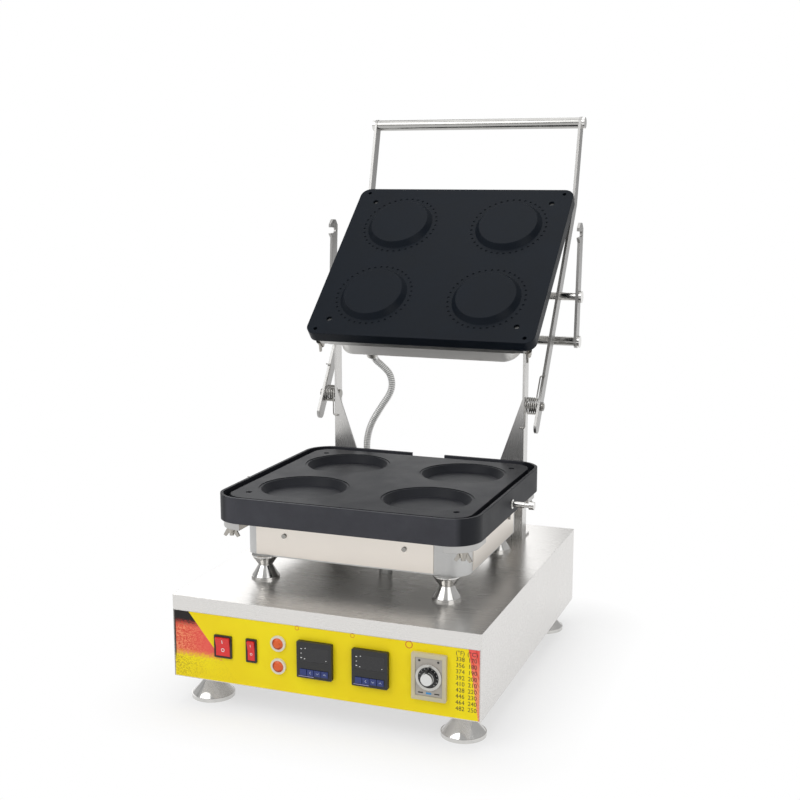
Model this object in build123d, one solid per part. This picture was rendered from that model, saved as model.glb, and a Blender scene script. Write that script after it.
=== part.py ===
from build123d import *
from math import atan2, cos, degrees, hypot, pi, radians, sin, tan
import os

os.makedirs("parts", exist_ok=True)

# Egg tart maker: a base box with a control panel, a lower mould block on four
# posts, and an upper mould head carried by two bent arms that hinge on two
# uprights behind the block. Millimetres, +Z up, front towards -Y.
# The machine is laid out about the centre of its base box, on the floor, and
# is moved along Y at the end so that its own outline is centred.

# Base box
base_width = 424.0
base_depth = 490.0
base_height = 112.0
foot_height = 38.0
sheet = 1.5
film_margin = 1.0
cover_lip = 20.0
cover_corner = 3.0
panel_setback = 1.0
film_thickness = 0.4

# Feet
foot_inset_x = 35.0
foot_inset_y = 42.0
foot_base_radius = 29.0
foot_rim_height = 5.0
foot_neck_radius = 9.0
foot_neck_height = 27.0
foot_nut_radius = 12.0
foot_nut_height = 5.0
foot_stud_radius = 4.0
foot_stud_inside = 12.0
foot_rim_step = 1.0
foot_inner_nut_radius = 7.5
foot_inner_nut_height = 6.5

# Lower heater unit, on its four hourglass posts
mould_centre_y = -17.0
post_inset_x = 28.6
post_inset_y = 8.5
post_height = 32.0
post_rim = 3.0
post_base_radius = 19.4
post_waist_radius = 9.6
post_waist_height = 18.0
post_top_radius = 18.5
post_rim_step = 1.0
post_top_rim = 1.5
post_stud_radius = 4.0
post_stud_length = 10.0
tray_inset_x = 24.0
tray_inset_y = 48.0
tray_height = 45.0
tray_wall = 3.0
tray_corner = 25.0
side_sheet_thickness = 1.0
front_sheet_inset_left = 20.0
front_sheet_inset_right = 44.0
side_sheet_inset = 29.0
side_sheet_above_tray = 2.0
side_sheet_below_top = 1.0
sheet_screw_radius = 3.2
sheet_screw_height = 2.0
sheet_screw_inset_left = 42.0
sheet_screw_inset_right = 40.0
sheet_screw_inset_side = 24.0
sheet_screw_rise = 30.6
heater_plate_thickness = 10.0
ear_inset = 4.0
ear_length_x = 41.0
ear_length_y = 68.0
stud_inset_x = 20.0
stud_inset_y = 23.0
stud_radius = 3.0
stud_clearance = 0.2
stud_seat = 9.0
element_drop_spread = 88.0
duct_x = 17.0
duct_y = -60.0
duct_radius = 9.0
duct_wall = 2.0

# Wing nuts: height, radii, one wing's outline from the axis, and its stud's end
wing_height = 9.0
wing_low_radius = 4.6
wing_top_radius = 6.6
wing_outline = ((3.0, -9.0), (5.5, -1.5), (12.0, -13.0), (8.5, -15.0))
wing_thickness = 2.6
wing_stud_below = 13.0

# Lower mould block
block_width = 366.0
block_depth = 346.0
block_height = 35.0
block_corner = 40.0
block_rim = 4.0
moat_width = 9.5
moat_depth = 8.0
plate_below_rim = 2.0
moat_inner_corner = 27.0
rear_notch_left = -22.0
rear_notch_right = 30.0
rear_notch_depth = 8.0

# Tart cavities and the pegs of the upper plate that press into them
cavity_x = 89.4
cavity_y = 76.6
cavity_ledge_radius = 62.0
cavity_ledge_depth = 1.0
cavity_mouth_radius = 59.0
cavity_floor_radius = 51.0
cavity_depth = 11.0
peg_foot_radius = 52.5
peg_top_radius = 45.5
peg_height = 8.0
dimple_ring_radius = 59.0
dimple_count = 38
dimple_radius = 1.7
dimple_depth = 1.0
plate_screw_inset_x = 36.1
plate_screw_inset_y = 44.0
plate_screw_radius = 4.3
plate_screw_counterbore = 7.0
plate_screw_recess = 3.0

# Lock pins on the block's sides
lock_pin_radius = 4.0
lock_pin_length = 32.0
lock_pin_seat = 12.0
lock_neck_radius = 3.0
lock_neck_length = 6.0
lock_tip_radius = 5.5
lock_tip_length = 7.0
lock_collar_radius = 6.5
lock_collar_length = 2.0

# Uprights, arm hinge and arms
hinge_behind_front = 10.5
hinge_height = 203.5
upright_inset = 34.0
upright_sheet = 3.0
upright_gap = 1.5
upright_depth = 22.0
upright_above_hinge = 86.5
gusset_width = 36.0
gusset_apex_above_hinge = 11.0
gusset_full_height = 120.0
upright_foot_depth = 40.0
foot_screw_radius = 2.5
foot_screw_clearance = 0.1
foot_screw_steps = (18.0, 32.0)
foot_screw_length = 6.0
foot_screw_head_height = 3.0
foot_screw_head_radius = 4.5
arm_gap = 19.0
arm_thickness = 4.0
arm_width = 19.0
arm_tail = 33.0
arm_rest_lean = 33.8
arm_bend_past_plate = 7.875
handle_behind_bend = 32.6276
handle_above_bend = 124.16
handle_radius = 8.8
handle_cap_length = 5.0
hinge_bolt_radius = 4.0
hinge_head_radius = 6.5
hinge_head_length = 3.0
hinge_outer_head = 3.0
hinge_bolt_end = 4.0
tube_screw_radius = 3.0
tube_screw_depth = 25.0
running_clearance = 0.05
face_gap = 0.5

# Upper head
head_turn = 138.6
closed_gap = 3.3
head_pivot_height = 71.4
upper_inset_x = 5.0
upper_inset_y = 13.0
upper_thickness = 17.0
upper_corner = 16.0
upper_heater_inset_x = 11.0
upper_heater_inset_y = 3.0
upper_ear_gap = 3.0
upper_cover_inset_x = 35.0
upper_cover_inset_y = 13.0
upper_cover_height = 32.0
upper_cover_wall = 2.5
upper_cover_corner = 25.0
lug_thickness = 5.0
lug_gap = 1.0
lug_base_half = 22.0
lug_top_radius = 13.0
lug_foot_width = 12.0
lug_foot_thickness = 4.0
head_pin_radius = 6.2
pin_head_radius = 9.0
pin_head_length = 4.0
stud_recess = 1.0

# Latch
latch_gap = 26.0
latch_thickness = 4.0
latch_width = 20.0
latch_head_width = 27.0
latch_notch_reach = 94.6
latch_notch_radius = 3.9
latch_above_notch = 17.0
latch_tube_reach = 68.0
latch_tube_radius = 7.0
latch_rest_tilt = 4.0
latch_cap_radius = 9.0
latch_cap_length = 4.0
latch_shoulder = 26.0
latch_corner = 8.0
latch_lip = 9.0
latch_mouth_slope = 2.0

# Torsion springs round the arm hinge
spring_wire = 2.2
spring_pitch = 3.1
spring_turns = 5
spring_mean_radius = 12.0
spring_side_gap = 0.5
spring_lower_leg = 32.0
spring_upper_leg = 44.0
spring_leg_bend = 2.6
spring_hook = 5.0

# Ribbed conduit from the base to the head
conduit_radius = 5.5
conduit_bore = 3.6
conduit_groove = 0.7
conduit_pitch = 3.0
conduit_exit = 13.0
conduit_rib_shares = (0.12, 0.38, 0.62, 0.95)
conduit_arc_share = 0.45
conduit_split = 0.8
conduit_beside_gusset = 13.0
conduit_base_y = 190.0
conduit_rise = 38.0
head_gland_inset_x = 50.0
head_gland_inset_y = 12.0
gland_radius = 9.5
gland_height = 12.0
gland_nut_height = 5.0
gland_wall = 5.0
gland_thread_step = 2.5

# Control panel, heights from the floor
controls_z = 88.0
controller_size = 48.0
controller_front = 6.0
controller_body = 44.0
controller_body_depth = 72.0
control_corner = 1.5
controller_left_x = -6.3
controller_right_x = 69.0
window_width = 40.0
window_height = 19.0
window_rise = 8.0
window_recess = 1.2
window_set_back = 0.2
key_width = 9.0
key_height = 8.0
key_gap = 0.8
key_drop = 16.0
key_front = 1.0
key_travel = 0.6
key_stem = 3.0
keys_on_each = 4
timer_x = 146.1
timer_width = 45.0
timer_height = 60.0
timer_front = 5.0
timer_face_width = 35.0
timer_face_height = 49.0
timer_body_depth = 60.0
timer_dial_radius = 17.0
timer_knob_radius = 7.5
timer_knob_height = 7.5
timer_shaft_radius = 3.0
timer_shaft_depth = 6.0
timer_wall = 1.0
timer_dial_front = 0.6
knob_skirt_width = 3.0
knob_skirt_height = 3.0
pointer_root = 4.4
pointer_tip = 2.0
pointer_past_knob = 4.5
power_x = -137.5
power_width = 25.3
power_height = 30.5
second_x = -96.5
second_width = 15.3
second_height = 31.6
bezel_rim = 2.3
bezel_front = 2.2
switch_body_depth = 24.0
switch_body_step = 1.0
switch_corner = 1.2
rocker_gap = 0.4
rocker_half_turn = 7.0
rocker_pivot_depth = 1.2
rocker_back = 5.0
pilot_x = -58.2
pilot_upper_z = 102.9
pilot_lower_z = 72.5
pilot_radius = 10.4
pilot_front = 3.0
pilot_lens_radius = 7.6
pilot_lens_front = 5.5
pilot_body_depth = 22.0
pilot_dome_share = 0.62
fit_gap = 0.3
over = 1.0

# Inside the base
contactor_size = (72.0, 84.0, 58.0)
contactor_place = (90.0, 120.0)
terminal_size = (130.0, 24.0, 22.0)
terminal_place = (-80.0, 130.0)
terminal_bays = 8
terminal_bay_radius = 4.0
terminal_bay_depth = 8.0
mains_gland_inset = 72.0
mains_gland_z = 70.0
element_radius = 4.0
element_spread = 110.0
element_rows = 4
element_reach = 95.0
element_bend_share = 0.45
vent_left = 60.0
vent_length = 40.0
vent_rows = 5
vent_pitch = 8.0
vent_height = 3.0
vent_below_gland = 12.0

# Places worked out from the sizes above
base_front = -base_depth / 2
base_rear = base_depth / 2
base_bottom = foot_height
base_top = foot_height + base_height
panel_front = base_front + panel_setback
panel_back = panel_front + sheet
panel_top = base_top - cover_lip
tray_bottom = base_top + post_height
tray_top = tray_bottom + tray_height
block_bottom = tray_top + heater_plate_thickness
block_top = block_bottom + block_height
plate_top = block_top - plate_below_rim
block_rear = mould_centre_y + block_depth / 2
foot_x = base_width / 2 - foot_inset_x
foot_y = base_depth / 2 - foot_inset_y
tray_width = block_width - 2 * tray_inset_x
tray_depth = block_depth - 2 * tray_inset_y
post_x = tray_width / 2 - post_inset_x
post_y = tray_depth / 2 - post_inset_y
front_sheet_left = -tray_width / 2 + front_sheet_inset_left
front_sheet_right = tray_width / 2 - front_sheet_inset_right
side_sheet_half = tray_depth / 2 - side_sheet_inset
sheet_screw_left = front_sheet_left + sheet_screw_inset_left
sheet_screw_right = front_sheet_right - sheet_screw_inset_right
ear_inner_x = block_width / 2 - ear_length_x
ear_inner_y = block_depth / 2 - ear_length_y
stud_x = block_width / 2 - stud_inset_x
stud_y = block_depth / 2 - stud_inset_y
plate_screw_x = block_width / 2 - plate_screw_inset_x
plate_screw_y = block_depth / 2 - plate_screw_inset_y
upper_width = block_width - 2 * upper_inset_x
upper_depth = block_depth - 2 * upper_inset_y
upper_heater_width = upper_width - 2 * upper_heater_inset_x
upper_heater_depth = upper_depth - 2 * upper_heater_inset_y
upper_cover_width = upper_width - 2 * upper_cover_inset_x
upper_cover_depth = upper_depth - 2 * upper_cover_inset_y
upright_inner_x = block_width / 2 - upright_inset
upright_front_y = block_rear + upright_gap
hinge_y = upright_front_y + hinge_behind_front
hinge_z = base_top + hinge_height
upright_top_z = hinge_z + upright_above_hinge
gusset_full_z = base_top + gusset_full_height
mains_gland_x = -base_width / 2 + mains_gland_inset
upright_outer_x = upright_inner_x + upright_sheet
foot_screw_x = upright_outer_x - gusset_width / 2
foot_screw_hole = foot_screw_radius + foot_screw_clearance
arm_inner_x = upright_outer_x + arm_gap
arm_outer_x = arm_inner_x + arm_thickness
latch_inner_x = arm_outer_x + latch_gap
latch_outer_x = latch_inner_x + latch_thickness
closed_face_z = block_top + closed_gap
closed_pivot_y = mould_centre_y
closed_pivot_z = closed_face_z + head_pivot_height
arm_reach = hypot(closed_pivot_y - hinge_y, closed_pivot_z - hinge_z)
arm_rest_angle = 90.0 - arm_rest_lean
arm_closed_angle = degrees(atan2(closed_pivot_z - hinge_z, closed_pivot_y - hinge_y)) % 360
lid_turn = arm_closed_angle - arm_rest_angle
tilt_turn = head_turn - lid_turn
pivot_y = hinge_y + arm_reach * cos(radians(arm_rest_angle))
pivot_z = hinge_z + arm_reach * sin(radians(arm_rest_angle))
arm_bend_reach = arm_reach + upper_depth / 2 + arm_bend_past_plate
bend_y = hinge_y + arm_bend_reach * cos(radians(arm_rest_angle))
bend_z = hinge_z + arm_bend_reach * sin(radians(arm_rest_angle))
handle_y = bend_y + handle_behind_bend
handle_z = bend_z + handle_above_bend
tail_y = hinge_y - arm_tail * cos(radians(arm_rest_angle))
tail_z = hinge_z - arm_tail * sin(radians(arm_rest_angle))
lock_pin_z = closed_pivot_z - latch_notch_reach
lock_pin_y = closed_pivot_y
latch_tube_y = pivot_y - latch_tube_reach * sin(radians(latch_rest_tilt))
latch_tube_z = pivot_z - latch_tube_reach * cos(radians(latch_rest_tilt))
upper_heater_low = closed_face_z + upper_thickness
upper_heater_high = upper_heater_low + heater_plate_thickness
cover_high = upper_heater_high + upper_cover_height
conduit_base_x = -upright_outer_x + gusset_width + conduit_beside_gusset
head_gland_x = -upper_cover_width / 2 + head_gland_inset_x
head_gland_y = closed_pivot_y + upper_cover_depth / 2 - head_gland_inset_y
sides = (-1, 1)

parts = {}


def slab(x0, x1, y0, y1, z0, z1):
    """A box between two corners."""
    return Pos((x0 + x1) / 2, (y0 + y1) / 2, (z0 + z1) / 2) * Box(abs(x1 - x0), abs(y1 - y0), abs(z1 - z0))


def rod_z(x, y, z0, z1, radius):
    """An upright cylinder."""
    return Pos(x, y, (z0 + z1) / 2) * Cylinder(radius, abs(z1 - z0))


def rod_x(x0, x1, y, z, radius):
    """A cylinder along X."""
    return Pos((x0 + x1) / 2, y, z) * Rot(0, 90, 0) * Cylinder(radius, abs(x1 - x0))


def rod_y(x, y0, y1, z, radius):
    """A cylinder along Y."""
    return Pos(x, (y0 + y1) / 2, z) * Rot(90, 0, 0) * Cylinder(radius, abs(y1 - y0))


def cone_z(x, y, z0, z1, low_radius, high_radius):
    """An upright cone, its first radius at its lower end."""
    return Pos(x, y, (z0 + z1) / 2) * Cone(low_radius, high_radius, z1 - z0)


def rounded_slab(width, depth, corner, z0, z1, y=0.0):
    """A plate with rounded corners, centred on X and at y."""
    return Pos(0, y, z0) * extrude(RectangleRounded(width, depth, corner), amount=z1 - z0)


def prism_x(points, x0, x1):
    """A (y, z) outline carried from x0 to x1."""
    low, high = min(x0, x1), max(x0, x1)
    return extrude(Plane.YZ.offset(low) * Polygon(*points, align=None), amount=high - low, dir=(1, 0, 0))


def prism_y(points, y0, y1):
    """An (x, z) outline carried from y0 to y1."""
    face = Plane((0, y0, 0), x_dir=(1, 0, 0), z_dir=(0, -1, 0)) * Polygon(*points, align=None)
    return extrude(face, amount=y1 - y0, dir=(0, 1, 0))


def bar_x(start, end, width, x0, x1):
    """A flat bar with round ends between two (y, z) points."""
    dy, dz = end[0] - start[0], end[1] - start[1]
    length = hypot(dy, dz)
    ny, nz = -dz / length * width / 2, dy / length * width / 2
    corners = [
        (start[0] + ny, start[1] + nz),
        (end[0] + ny, end[1] + nz),
        (end[0] - ny, end[1] - nz),
        (start[0] - ny, start[1] - nz),
    ]
    bar = prism_x(corners, x0, x1)
    return bar + rod_x(x0, x1, start[0], start[1], width / 2) + rod_x(x0, x1, end[0], end[1], width / 2)


def mirrored(shape):
    """The same piece on the other side of the machine."""
    return mirror(shape, about=Plane.YZ)


def on_head(shape):
    """A piece laid out on the closed head, turned up to where the open head is."""
    to_open = Pos(0, pivot_y, pivot_z) * Rot(-head_turn, 0, 0) * Pos(0, -closed_pivot_y, -closed_pivot_z)
    return to_open * shape


def corners(x, y, y_centre=0.0):
    """The four places at plus and minus x and y."""
    return [(sx * x, y_centre + sy * y) for sx in sides for sy in sides]


def group(pieces):
    """Separate solids kept together in one node."""
    solids = [solid for piece in pieces for solid in piece.solids()]
    return Compound(solids)


# Base box
def build_base_cover():
    outer = rounded_slab(base_width, base_depth, cover_corner, base_bottom, base_top)
    inner = slab(
        -base_width / 2 + sheet, base_width / 2 - sheet,
        base_front + sheet, base_rear - sheet, base_bottom - over, base_top - sheet,
    )
    mouth = slab(
        -base_width / 2 + sheet, base_width / 2 - sheet,
        base_front - over, base_rear + over, base_bottom - over, panel_top,
    )
    cover = outer - inner - mouth
    for x, y in corners(post_x, post_y, mould_centre_y):
        cover -= rod_z(x, y, base_top - 2 * sheet, base_top + over, post_stud_radius + stud_clearance)
    for side in sides:
        for step in foot_screw_steps:
            y = upright_front_y + step
            cover -= rod_z(side * foot_screw_x, y, base_top - 2 * sheet, base_top + over, foot_screw_hole)
    gland_hole = conduit_radius + fit_gap
    return cover - rod_z(conduit_base_x, conduit_base_y, base_top - 2 * sheet, base_top + over, gland_hole)


def build_base_pan():
    half = base_width / 2 - sheet - fit_gap
    front = panel_back + fit_gap
    rear = base_rear - sheet - fit_gap
    pan = slab(-half, half, front, rear, base_bottom, base_bottom + sheet)
    pan += slab(-half, half, rear - sheet, rear, base_bottom, panel_top - fit_gap)
    for side in sides:
        pan += slab(side * half, side * (half - sheet), front, rear, base_bottom, base_bottom + cover_lip)
    thread = gland_radius - gland_thread_step
    pan -= rod_y(mains_gland_x, rear - 2 * sheet, rear + over, mains_gland_z, thread)
    for row in range(vent_rows):
        z = mains_gland_z - vent_below_gland + vent_pitch * row
        pan -= slab(vent_left, vent_left + vent_length, rear - 2 * sheet, rear + over, z, z + vent_height)
    for x, y in corners(foot_x, foot_y):
        pan -= rod_z(x, y, base_bottom - over, base_bottom + 2 * sheet, foot_stud_radius + fit_gap)
    return pan


def panel_openings(depth_front, depth_back):
    """Everything that is cut through the control panel."""
    z = controls_z
    cuts = []
    for x in (controller_left_x, controller_right_x):
        half = controller_body / 2 + fit_gap
        cuts.append(slab(x - half, x + half, depth_front, depth_back, z - half, z + half))
    half = timer_face_width / 2 + fit_gap
    tall = timer_face_height / 2 + fit_gap
    cuts.append(slab(timer_x - half, timer_x + half, depth_front, depth_back, z - tall, z + tall))
    for x, width, height in switches():
        half, tall = width / 2 - switch_body_step, height / 2 - switch_body_step
        cuts.append(slab(x - half, x + half, depth_front, depth_back, z - tall, z + tall))
    for pilot_z in (pilot_upper_z, pilot_lower_z):
        cuts.append(rod_y(pilot_x, depth_front, depth_back, pilot_z, pilot_lens_radius + 2 * fit_gap))
    return cuts


def switches():
    """The two rocker switches: place, width and height."""
    return [(power_x, power_width, power_height), (second_x, second_width, second_height)]


def build_front_panel():
    half = base_width / 2 - sheet - fit_gap
    panel = slab(-half, half, panel_front, panel_back, base_bottom, panel_top - fit_gap)
    for cut in panel_openings(panel_front - over, panel_back + over):
        panel -= cut
    return panel


def build_panel_film():
    half = base_width / 2 - sheet - film_margin
    low, high = base_bottom + film_margin, panel_top - film_margin
    film = slab(-half, half, panel_front - film_thickness, panel_front, low, high)
    for cut in panel_openings(panel_front - over, panel_back + over):
        film -= cut
    return film


# Feet
def build_feet():
    feet = []
    for x, y in corners(foot_x, foot_y):
        foot = rod_z(x, y, 0, foot_rim_height, foot_base_radius)
        shoulder = foot_base_radius - foot_rim_step
        foot += cone_z(x, y, foot_rim_height, foot_neck_height, shoulder, foot_neck_radius)
        foot += rod_z(x, y, foot_neck_height, foot_height - foot_nut_height, foot_neck_radius)
        foot += rod_z(x, y, foot_height - foot_nut_height, foot_height + foot_stud_inside, foot_stud_radius)
        feet.append(foot)
    return group(feet)


def build_foot_nuts():
    nuts = []
    for x, y in corners(foot_x, foot_y):
        low = foot_height - foot_nut_height
        nut = rod_z(x, y, low, foot_height, foot_nut_radius)
        nuts.append(nut - rod_z(x, y, low - over, foot_height + over, foot_stud_radius))
        top = base_bottom + sheet
        hexagon = RegularPolygon(foot_inner_nut_radius, 6)
        inner = Pos(x, y, top) * extrude(hexagon, amount=foot_inner_nut_height)
        nuts.append(inner - rod_z(x, y, top - over, top + foot_inner_nut_height + over, foot_stud_radius))
    return group(nuts)


# Posts between the base and the lower heater unit
def build_posts():
    posts = []
    waist_z = base_top + post_waist_height
    for x, y in corners(post_x, post_y, mould_centre_y):
        post = rod_z(x, y, base_top, base_top + post_rim, post_base_radius)
        shoulder = post_base_radius - post_rim_step
        post += cone_z(x, y, base_top + post_rim, waist_z, shoulder, post_waist_radius)
        post += cone_z(x, y, waist_z, tray_bottom - post_top_rim, post_waist_radius, post_top_radius)
        post += rod_z(x, y, tray_bottom - post_top_rim, tray_bottom, post_top_radius)
        post += rod_z(x, y, base_top - post_stud_length, base_top, post_stud_radius)
        posts.append(post)
    return group(posts)


# Lower heater unit
def build_lower_tray():
    tray = rounded_slab(tray_width, tray_depth, tray_corner, tray_bottom, tray_top, mould_centre_y)
    tray -= rounded_slab(
        tray_width - 2 * tray_wall, tray_depth - 2 * tray_wall, tray_corner - tray_wall,
        tray_bottom + tray_wall, tray_top + over, mould_centre_y,
    )
    bore = duct_radius - duct_wall
    return tray - rod_z(duct_x, duct_y, tray_bottom - over, tray_bottom + 2 * tray_wall, bore)


def build_lower_sheets():
    low, high = tray_bottom + side_sheet_above_tray, tray_top - side_sheet_below_top
    front = mould_centre_y - tray_depth / 2
    rear = mould_centre_y + tray_depth / 2
    t = side_sheet_thickness
    covers = [
        slab(front_sheet_left, front_sheet_right, front - t, front, low, high),
        slab(-front_sheet_right, -front_sheet_left, rear, rear + t, low, high),
    ]
    for side in sides:
        x = side * tray_width / 2
        front, rear = mould_centre_y - side_sheet_half, mould_centre_y + side_sheet_half
        covers.append(slab(x, x + side * t, front, rear, low, high))
    return group(covers)


def build_lower_sheet_screws():
    z = tray_bottom + sheet_screw_rise
    front = mould_centre_y - tray_depth / 2 - side_sheet_thickness
    rear = mould_centre_y + tray_depth / 2 + side_sheet_thickness
    screws = []
    for x in (sheet_screw_left, sheet_screw_right):
        screws.append(rod_y(x, front - sheet_screw_height, front, z, sheet_screw_radius))
        screws.append(rod_y(-x, rear, rear + sheet_screw_height, z, sheet_screw_radius))
    for side in sides:
        x = side * (tray_width / 2 + side_sheet_thickness)
        for step in sides:
            y = mould_centre_y + step * (side_sheet_half - sheet_screw_inset_side)
            screws.append(rod_x(x, x + side * sheet_screw_height, y, z, sheet_screw_radius))
    return group(screws)


def heater_plate(width, depth, corner, core_width, core_depth, low):
    """A heater plate as large as its tray, with ears that reach under the mould's corners."""
    high = low + heater_plate_thickness
    core = rounded_slab(core_width, core_depth, tray_corner, low, high, mould_centre_y)
    full = rounded_slab(
        width - 2 * ear_inset, depth - 2 * ear_inset, corner - ear_inset, low, high, mould_centre_y
    )
    for sx in sides:
        for sy in sides:
            core += full & slab(
                sx * ear_inner_x, sx * width / 2,
                mould_centre_y + sy * ear_inner_y, mould_centre_y + sy * depth / 2, low, high,
            )
    for x, y in corners(stud_x, stud_y, mould_centre_y):
        core -= rod_z(x, y, low - over, high + over, stud_radius + stud_clearance)
    return core


def build_lower_heater_plate():
    return heater_plate(block_width, block_depth, block_corner, tray_width, tray_depth, tray_top)


def element_loop(z, y_centre, spread, reach, rows):
    """A tubular heater that runs to and fro in rows, in one plane."""
    step = 2 * spread / (rows - 1)
    points = []
    for row in range(rows):
        y = y_centre - spread + step * row
        ends = (-reach, reach) if row % 2 == 0 else (reach, -reach)
        points.extend([(ends[0], y, z), (ends[1], y, z)])
    path = FilletPolyline(*points, radius=step * element_bend_share)
    start = Plane(origin=points[0], x_dir=(0, 1, 0), z_dir=(1, 0, 0))
    return sweep(start * Circle(element_radius), path=path)


def build_lower_elements():
    z = tray_top - element_radius - fit_gap
    return element_loop(z, mould_centre_y, element_drop_spread, element_reach, element_rows)


def build_duct():
    tube = rod_z(duct_x, duct_y, base_top, tray_bottom, duct_radius)
    return tube - rod_z(duct_x, duct_y, base_top - over, tray_bottom + over, duct_radius - duct_wall)


# Lower mould block
def cavity_cut(x, y):
    """One tart cavity: a shallow ledge, then a tapered round pocket."""
    floor_z = plate_top - cavity_depth
    cut = rod_z(x, y, plate_top - cavity_ledge_depth, plate_top + over, cavity_ledge_radius)
    mouth_z = plate_top - cavity_ledge_depth
    return cut + cone_z(x, y, floor_z, mouth_z, cavity_floor_radius, cavity_mouth_radius)


def build_lower_block():
    block = rounded_slab(block_width, block_depth, block_corner, block_bottom, block_top, mould_centre_y)
    width = block_width - 2 * block_rim
    depth = block_depth - 2 * block_rim
    corner = block_corner - block_rim
    moat = rounded_slab(width, depth, corner, plate_top - moat_depth, block_top + over, mould_centre_y)
    island = rounded_slab(
        width - 2 * moat_width, depth - 2 * moat_width, moat_inner_corner,
        plate_top - 2 * moat_depth, plate_top, mould_centre_y,
    )
    block = block - (moat - island)
    block -= slab(
        rear_notch_left, rear_notch_right, block_rear - 2 * block_rim, block_rear + over,
        block_top - rear_notch_depth, block_top + over,
    )
    for x, y in corners(cavity_x, cavity_y, mould_centre_y):
        block -= cavity_cut(x, y)
    for x, y in corners(plate_screw_x, plate_screw_y, mould_centre_y):
        block -= rod_z(x, y, plate_top - plate_screw_counterbore, plate_top + over, plate_screw_radius)
    for x, y in corners(stud_x, stud_y, mould_centre_y):
        block -= rod_z(x, y, block_bottom - over, block_bottom + stud_seat, stud_radius)
    for side in sides:
        x = side * block_width / 2
        block -= rod_x(x - side * lock_pin_seat, x + side, lock_pin_y, lock_pin_z, lock_pin_radius)
    return block


def build_lower_plate_screws():
    screws = []
    for x, y in corners(plate_screw_x, plate_screw_y, mould_centre_y):
        low = plate_top - plate_screw_counterbore
        screws.append(rod_z(x, y, low, plate_top - plate_screw_recess, plate_screw_radius - fit_gap))
    return group(screws)


def build_lock_pins():
    pins = []
    for side in sides:
        root = side * (block_width / 2 - lock_pin_seat)
        face = side * block_width / 2
        tip = face + side * lock_pin_length
        neck_end = tip - side * lock_tip_length
        neck_start = neck_end - side * lock_neck_length
        pin = rod_x(root, neck_start, lock_pin_y, lock_pin_z, lock_pin_radius)
        pin += rod_x(face, face + side * lock_collar_length, lock_pin_y, lock_pin_z, lock_collar_radius)
        pin += rod_x(neck_start, neck_end, lock_pin_y, lock_pin_z, lock_neck_radius)
        pin += rod_x(neck_end, tip, lock_pin_y, lock_pin_z, lock_tip_radius)
        pins.append(pin)
    return group(pins)


def wing_nut(x, y, z_top, turn=0.0):
    """A wing nut that hangs from z_top on the stud of the mould above."""
    nut = cone_z(x, y, z_top - wing_height, z_top, wing_low_radius, wing_top_radius)
    for side in sides:
        outline = [(side * across, down) for across, down in wing_outline]
        wing = prism_y(outline, -wing_thickness / 2, wing_thickness / 2)
        nut += Pos(x, y, z_top) * Rot(0, 0, turn) * wing
    stud_end = z_top + heater_plate_thickness + stud_seat
    return nut + rod_z(x, y, z_top - wing_stud_below, stud_end, stud_radius)


def build_lower_wing_nuts():
    return group([wing_nut(x, y, tray_top) for x, y in corners(stud_x, stud_y, mould_centre_y)])


# Uprights
def build_upright():
    x0, x1 = upright_inner_x, upright_outer_x
    y0, y1 = upright_front_y, upright_front_y + upright_depth
    upright = slab(x0, x1, y0, y1, base_top, upright_top_z)
    apex = hinge_z + gusset_apex_above_hinge
    inner = x1 - gusset_width
    gusset = [(x1, apex), (x0, apex), (inner, gusset_full_z), (inner, base_top), (x1, base_top)]
    upright += prism_y(gusset, y0, y0 + upright_sheet)
    upright += slab(inner, x1, y0, y0 + upright_foot_depth, base_top, base_top + upright_sheet)
    for step in foot_screw_steps:
        y = y0 + step
        upright -= rod_z(foot_screw_x, y, base_top - over, base_top + 2 * upright_sheet, foot_screw_hole)
    return upright - rod_x(x0 - over, x1 + over, hinge_y, hinge_z, hinge_bolt_radius)


def build_upright_screws():
    screws = []
    for side in sides:
        for step in foot_screw_steps:
            y = upright_front_y + step
            top = base_top + upright_sheet
            x = side * foot_screw_x
            screw = rod_z(x, y, base_top - foot_screw_length, top, foot_screw_radius)
            screws.append(screw + rod_z(x, y, top, top + foot_screw_head_height, foot_screw_head_radius))
    return group(screws)


def build_hinge_bolts():
    bolts = []
    for side in sides:
        inner = side * upright_inner_x
        outer = side * (arm_outer_x + face_gap)
        bolt = rod_x(inner - side * hinge_head_length, inner, hinge_y, hinge_z, hinge_head_radius)
        bolt += rod_x(inner, outer + side * hinge_bolt_end, hinge_y, hinge_z, hinge_bolt_radius)
        bolt += rod_x(outer, outer + side * hinge_outer_head, hinge_y, hinge_z, hinge_head_radius)
        bolts.append(bolt)
    return group(bolts)


# Arms and handle
def build_arm():
    x0, x1 = arm_inner_x, arm_outer_x
    arm = bar_x((tail_y, tail_z), (bend_y, bend_z), arm_width, x0, x1)
    arm += bar_x((bend_y, bend_z), (handle_y, handle_z), arm_width, x0, x1)
    arm -= rod_x(x0 - over, x1 + over, hinge_y, hinge_z, hinge_bolt_radius + running_clearance)
    arm -= rod_x(x0 - over, x1 + over, pivot_y, pivot_z, head_pin_radius + running_clearance)
    return arm - rod_x(x0 - over, x1 + over, handle_y, handle_z, tube_screw_radius)


def build_handle_tube():
    tube = rod_x(-arm_inner_x, arm_inner_x, handle_y, handle_z, handle_radius)
    return tube - rod_x(-arm_inner_x - over, arm_inner_x + over, handle_y, handle_z, tube_screw_radius)


def build_handle_screws():
    screws = []
    for side in sides:
        face = side * arm_outer_x
        screw = rod_x(face, face + side * handle_cap_length, handle_y, handle_z, handle_radius)
        inner = side * (arm_inner_x - tube_screw_depth)
        screws.append(screw + rod_x(inner, face, handle_y, handle_z, tube_screw_radius))
    return group(screws)


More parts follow.
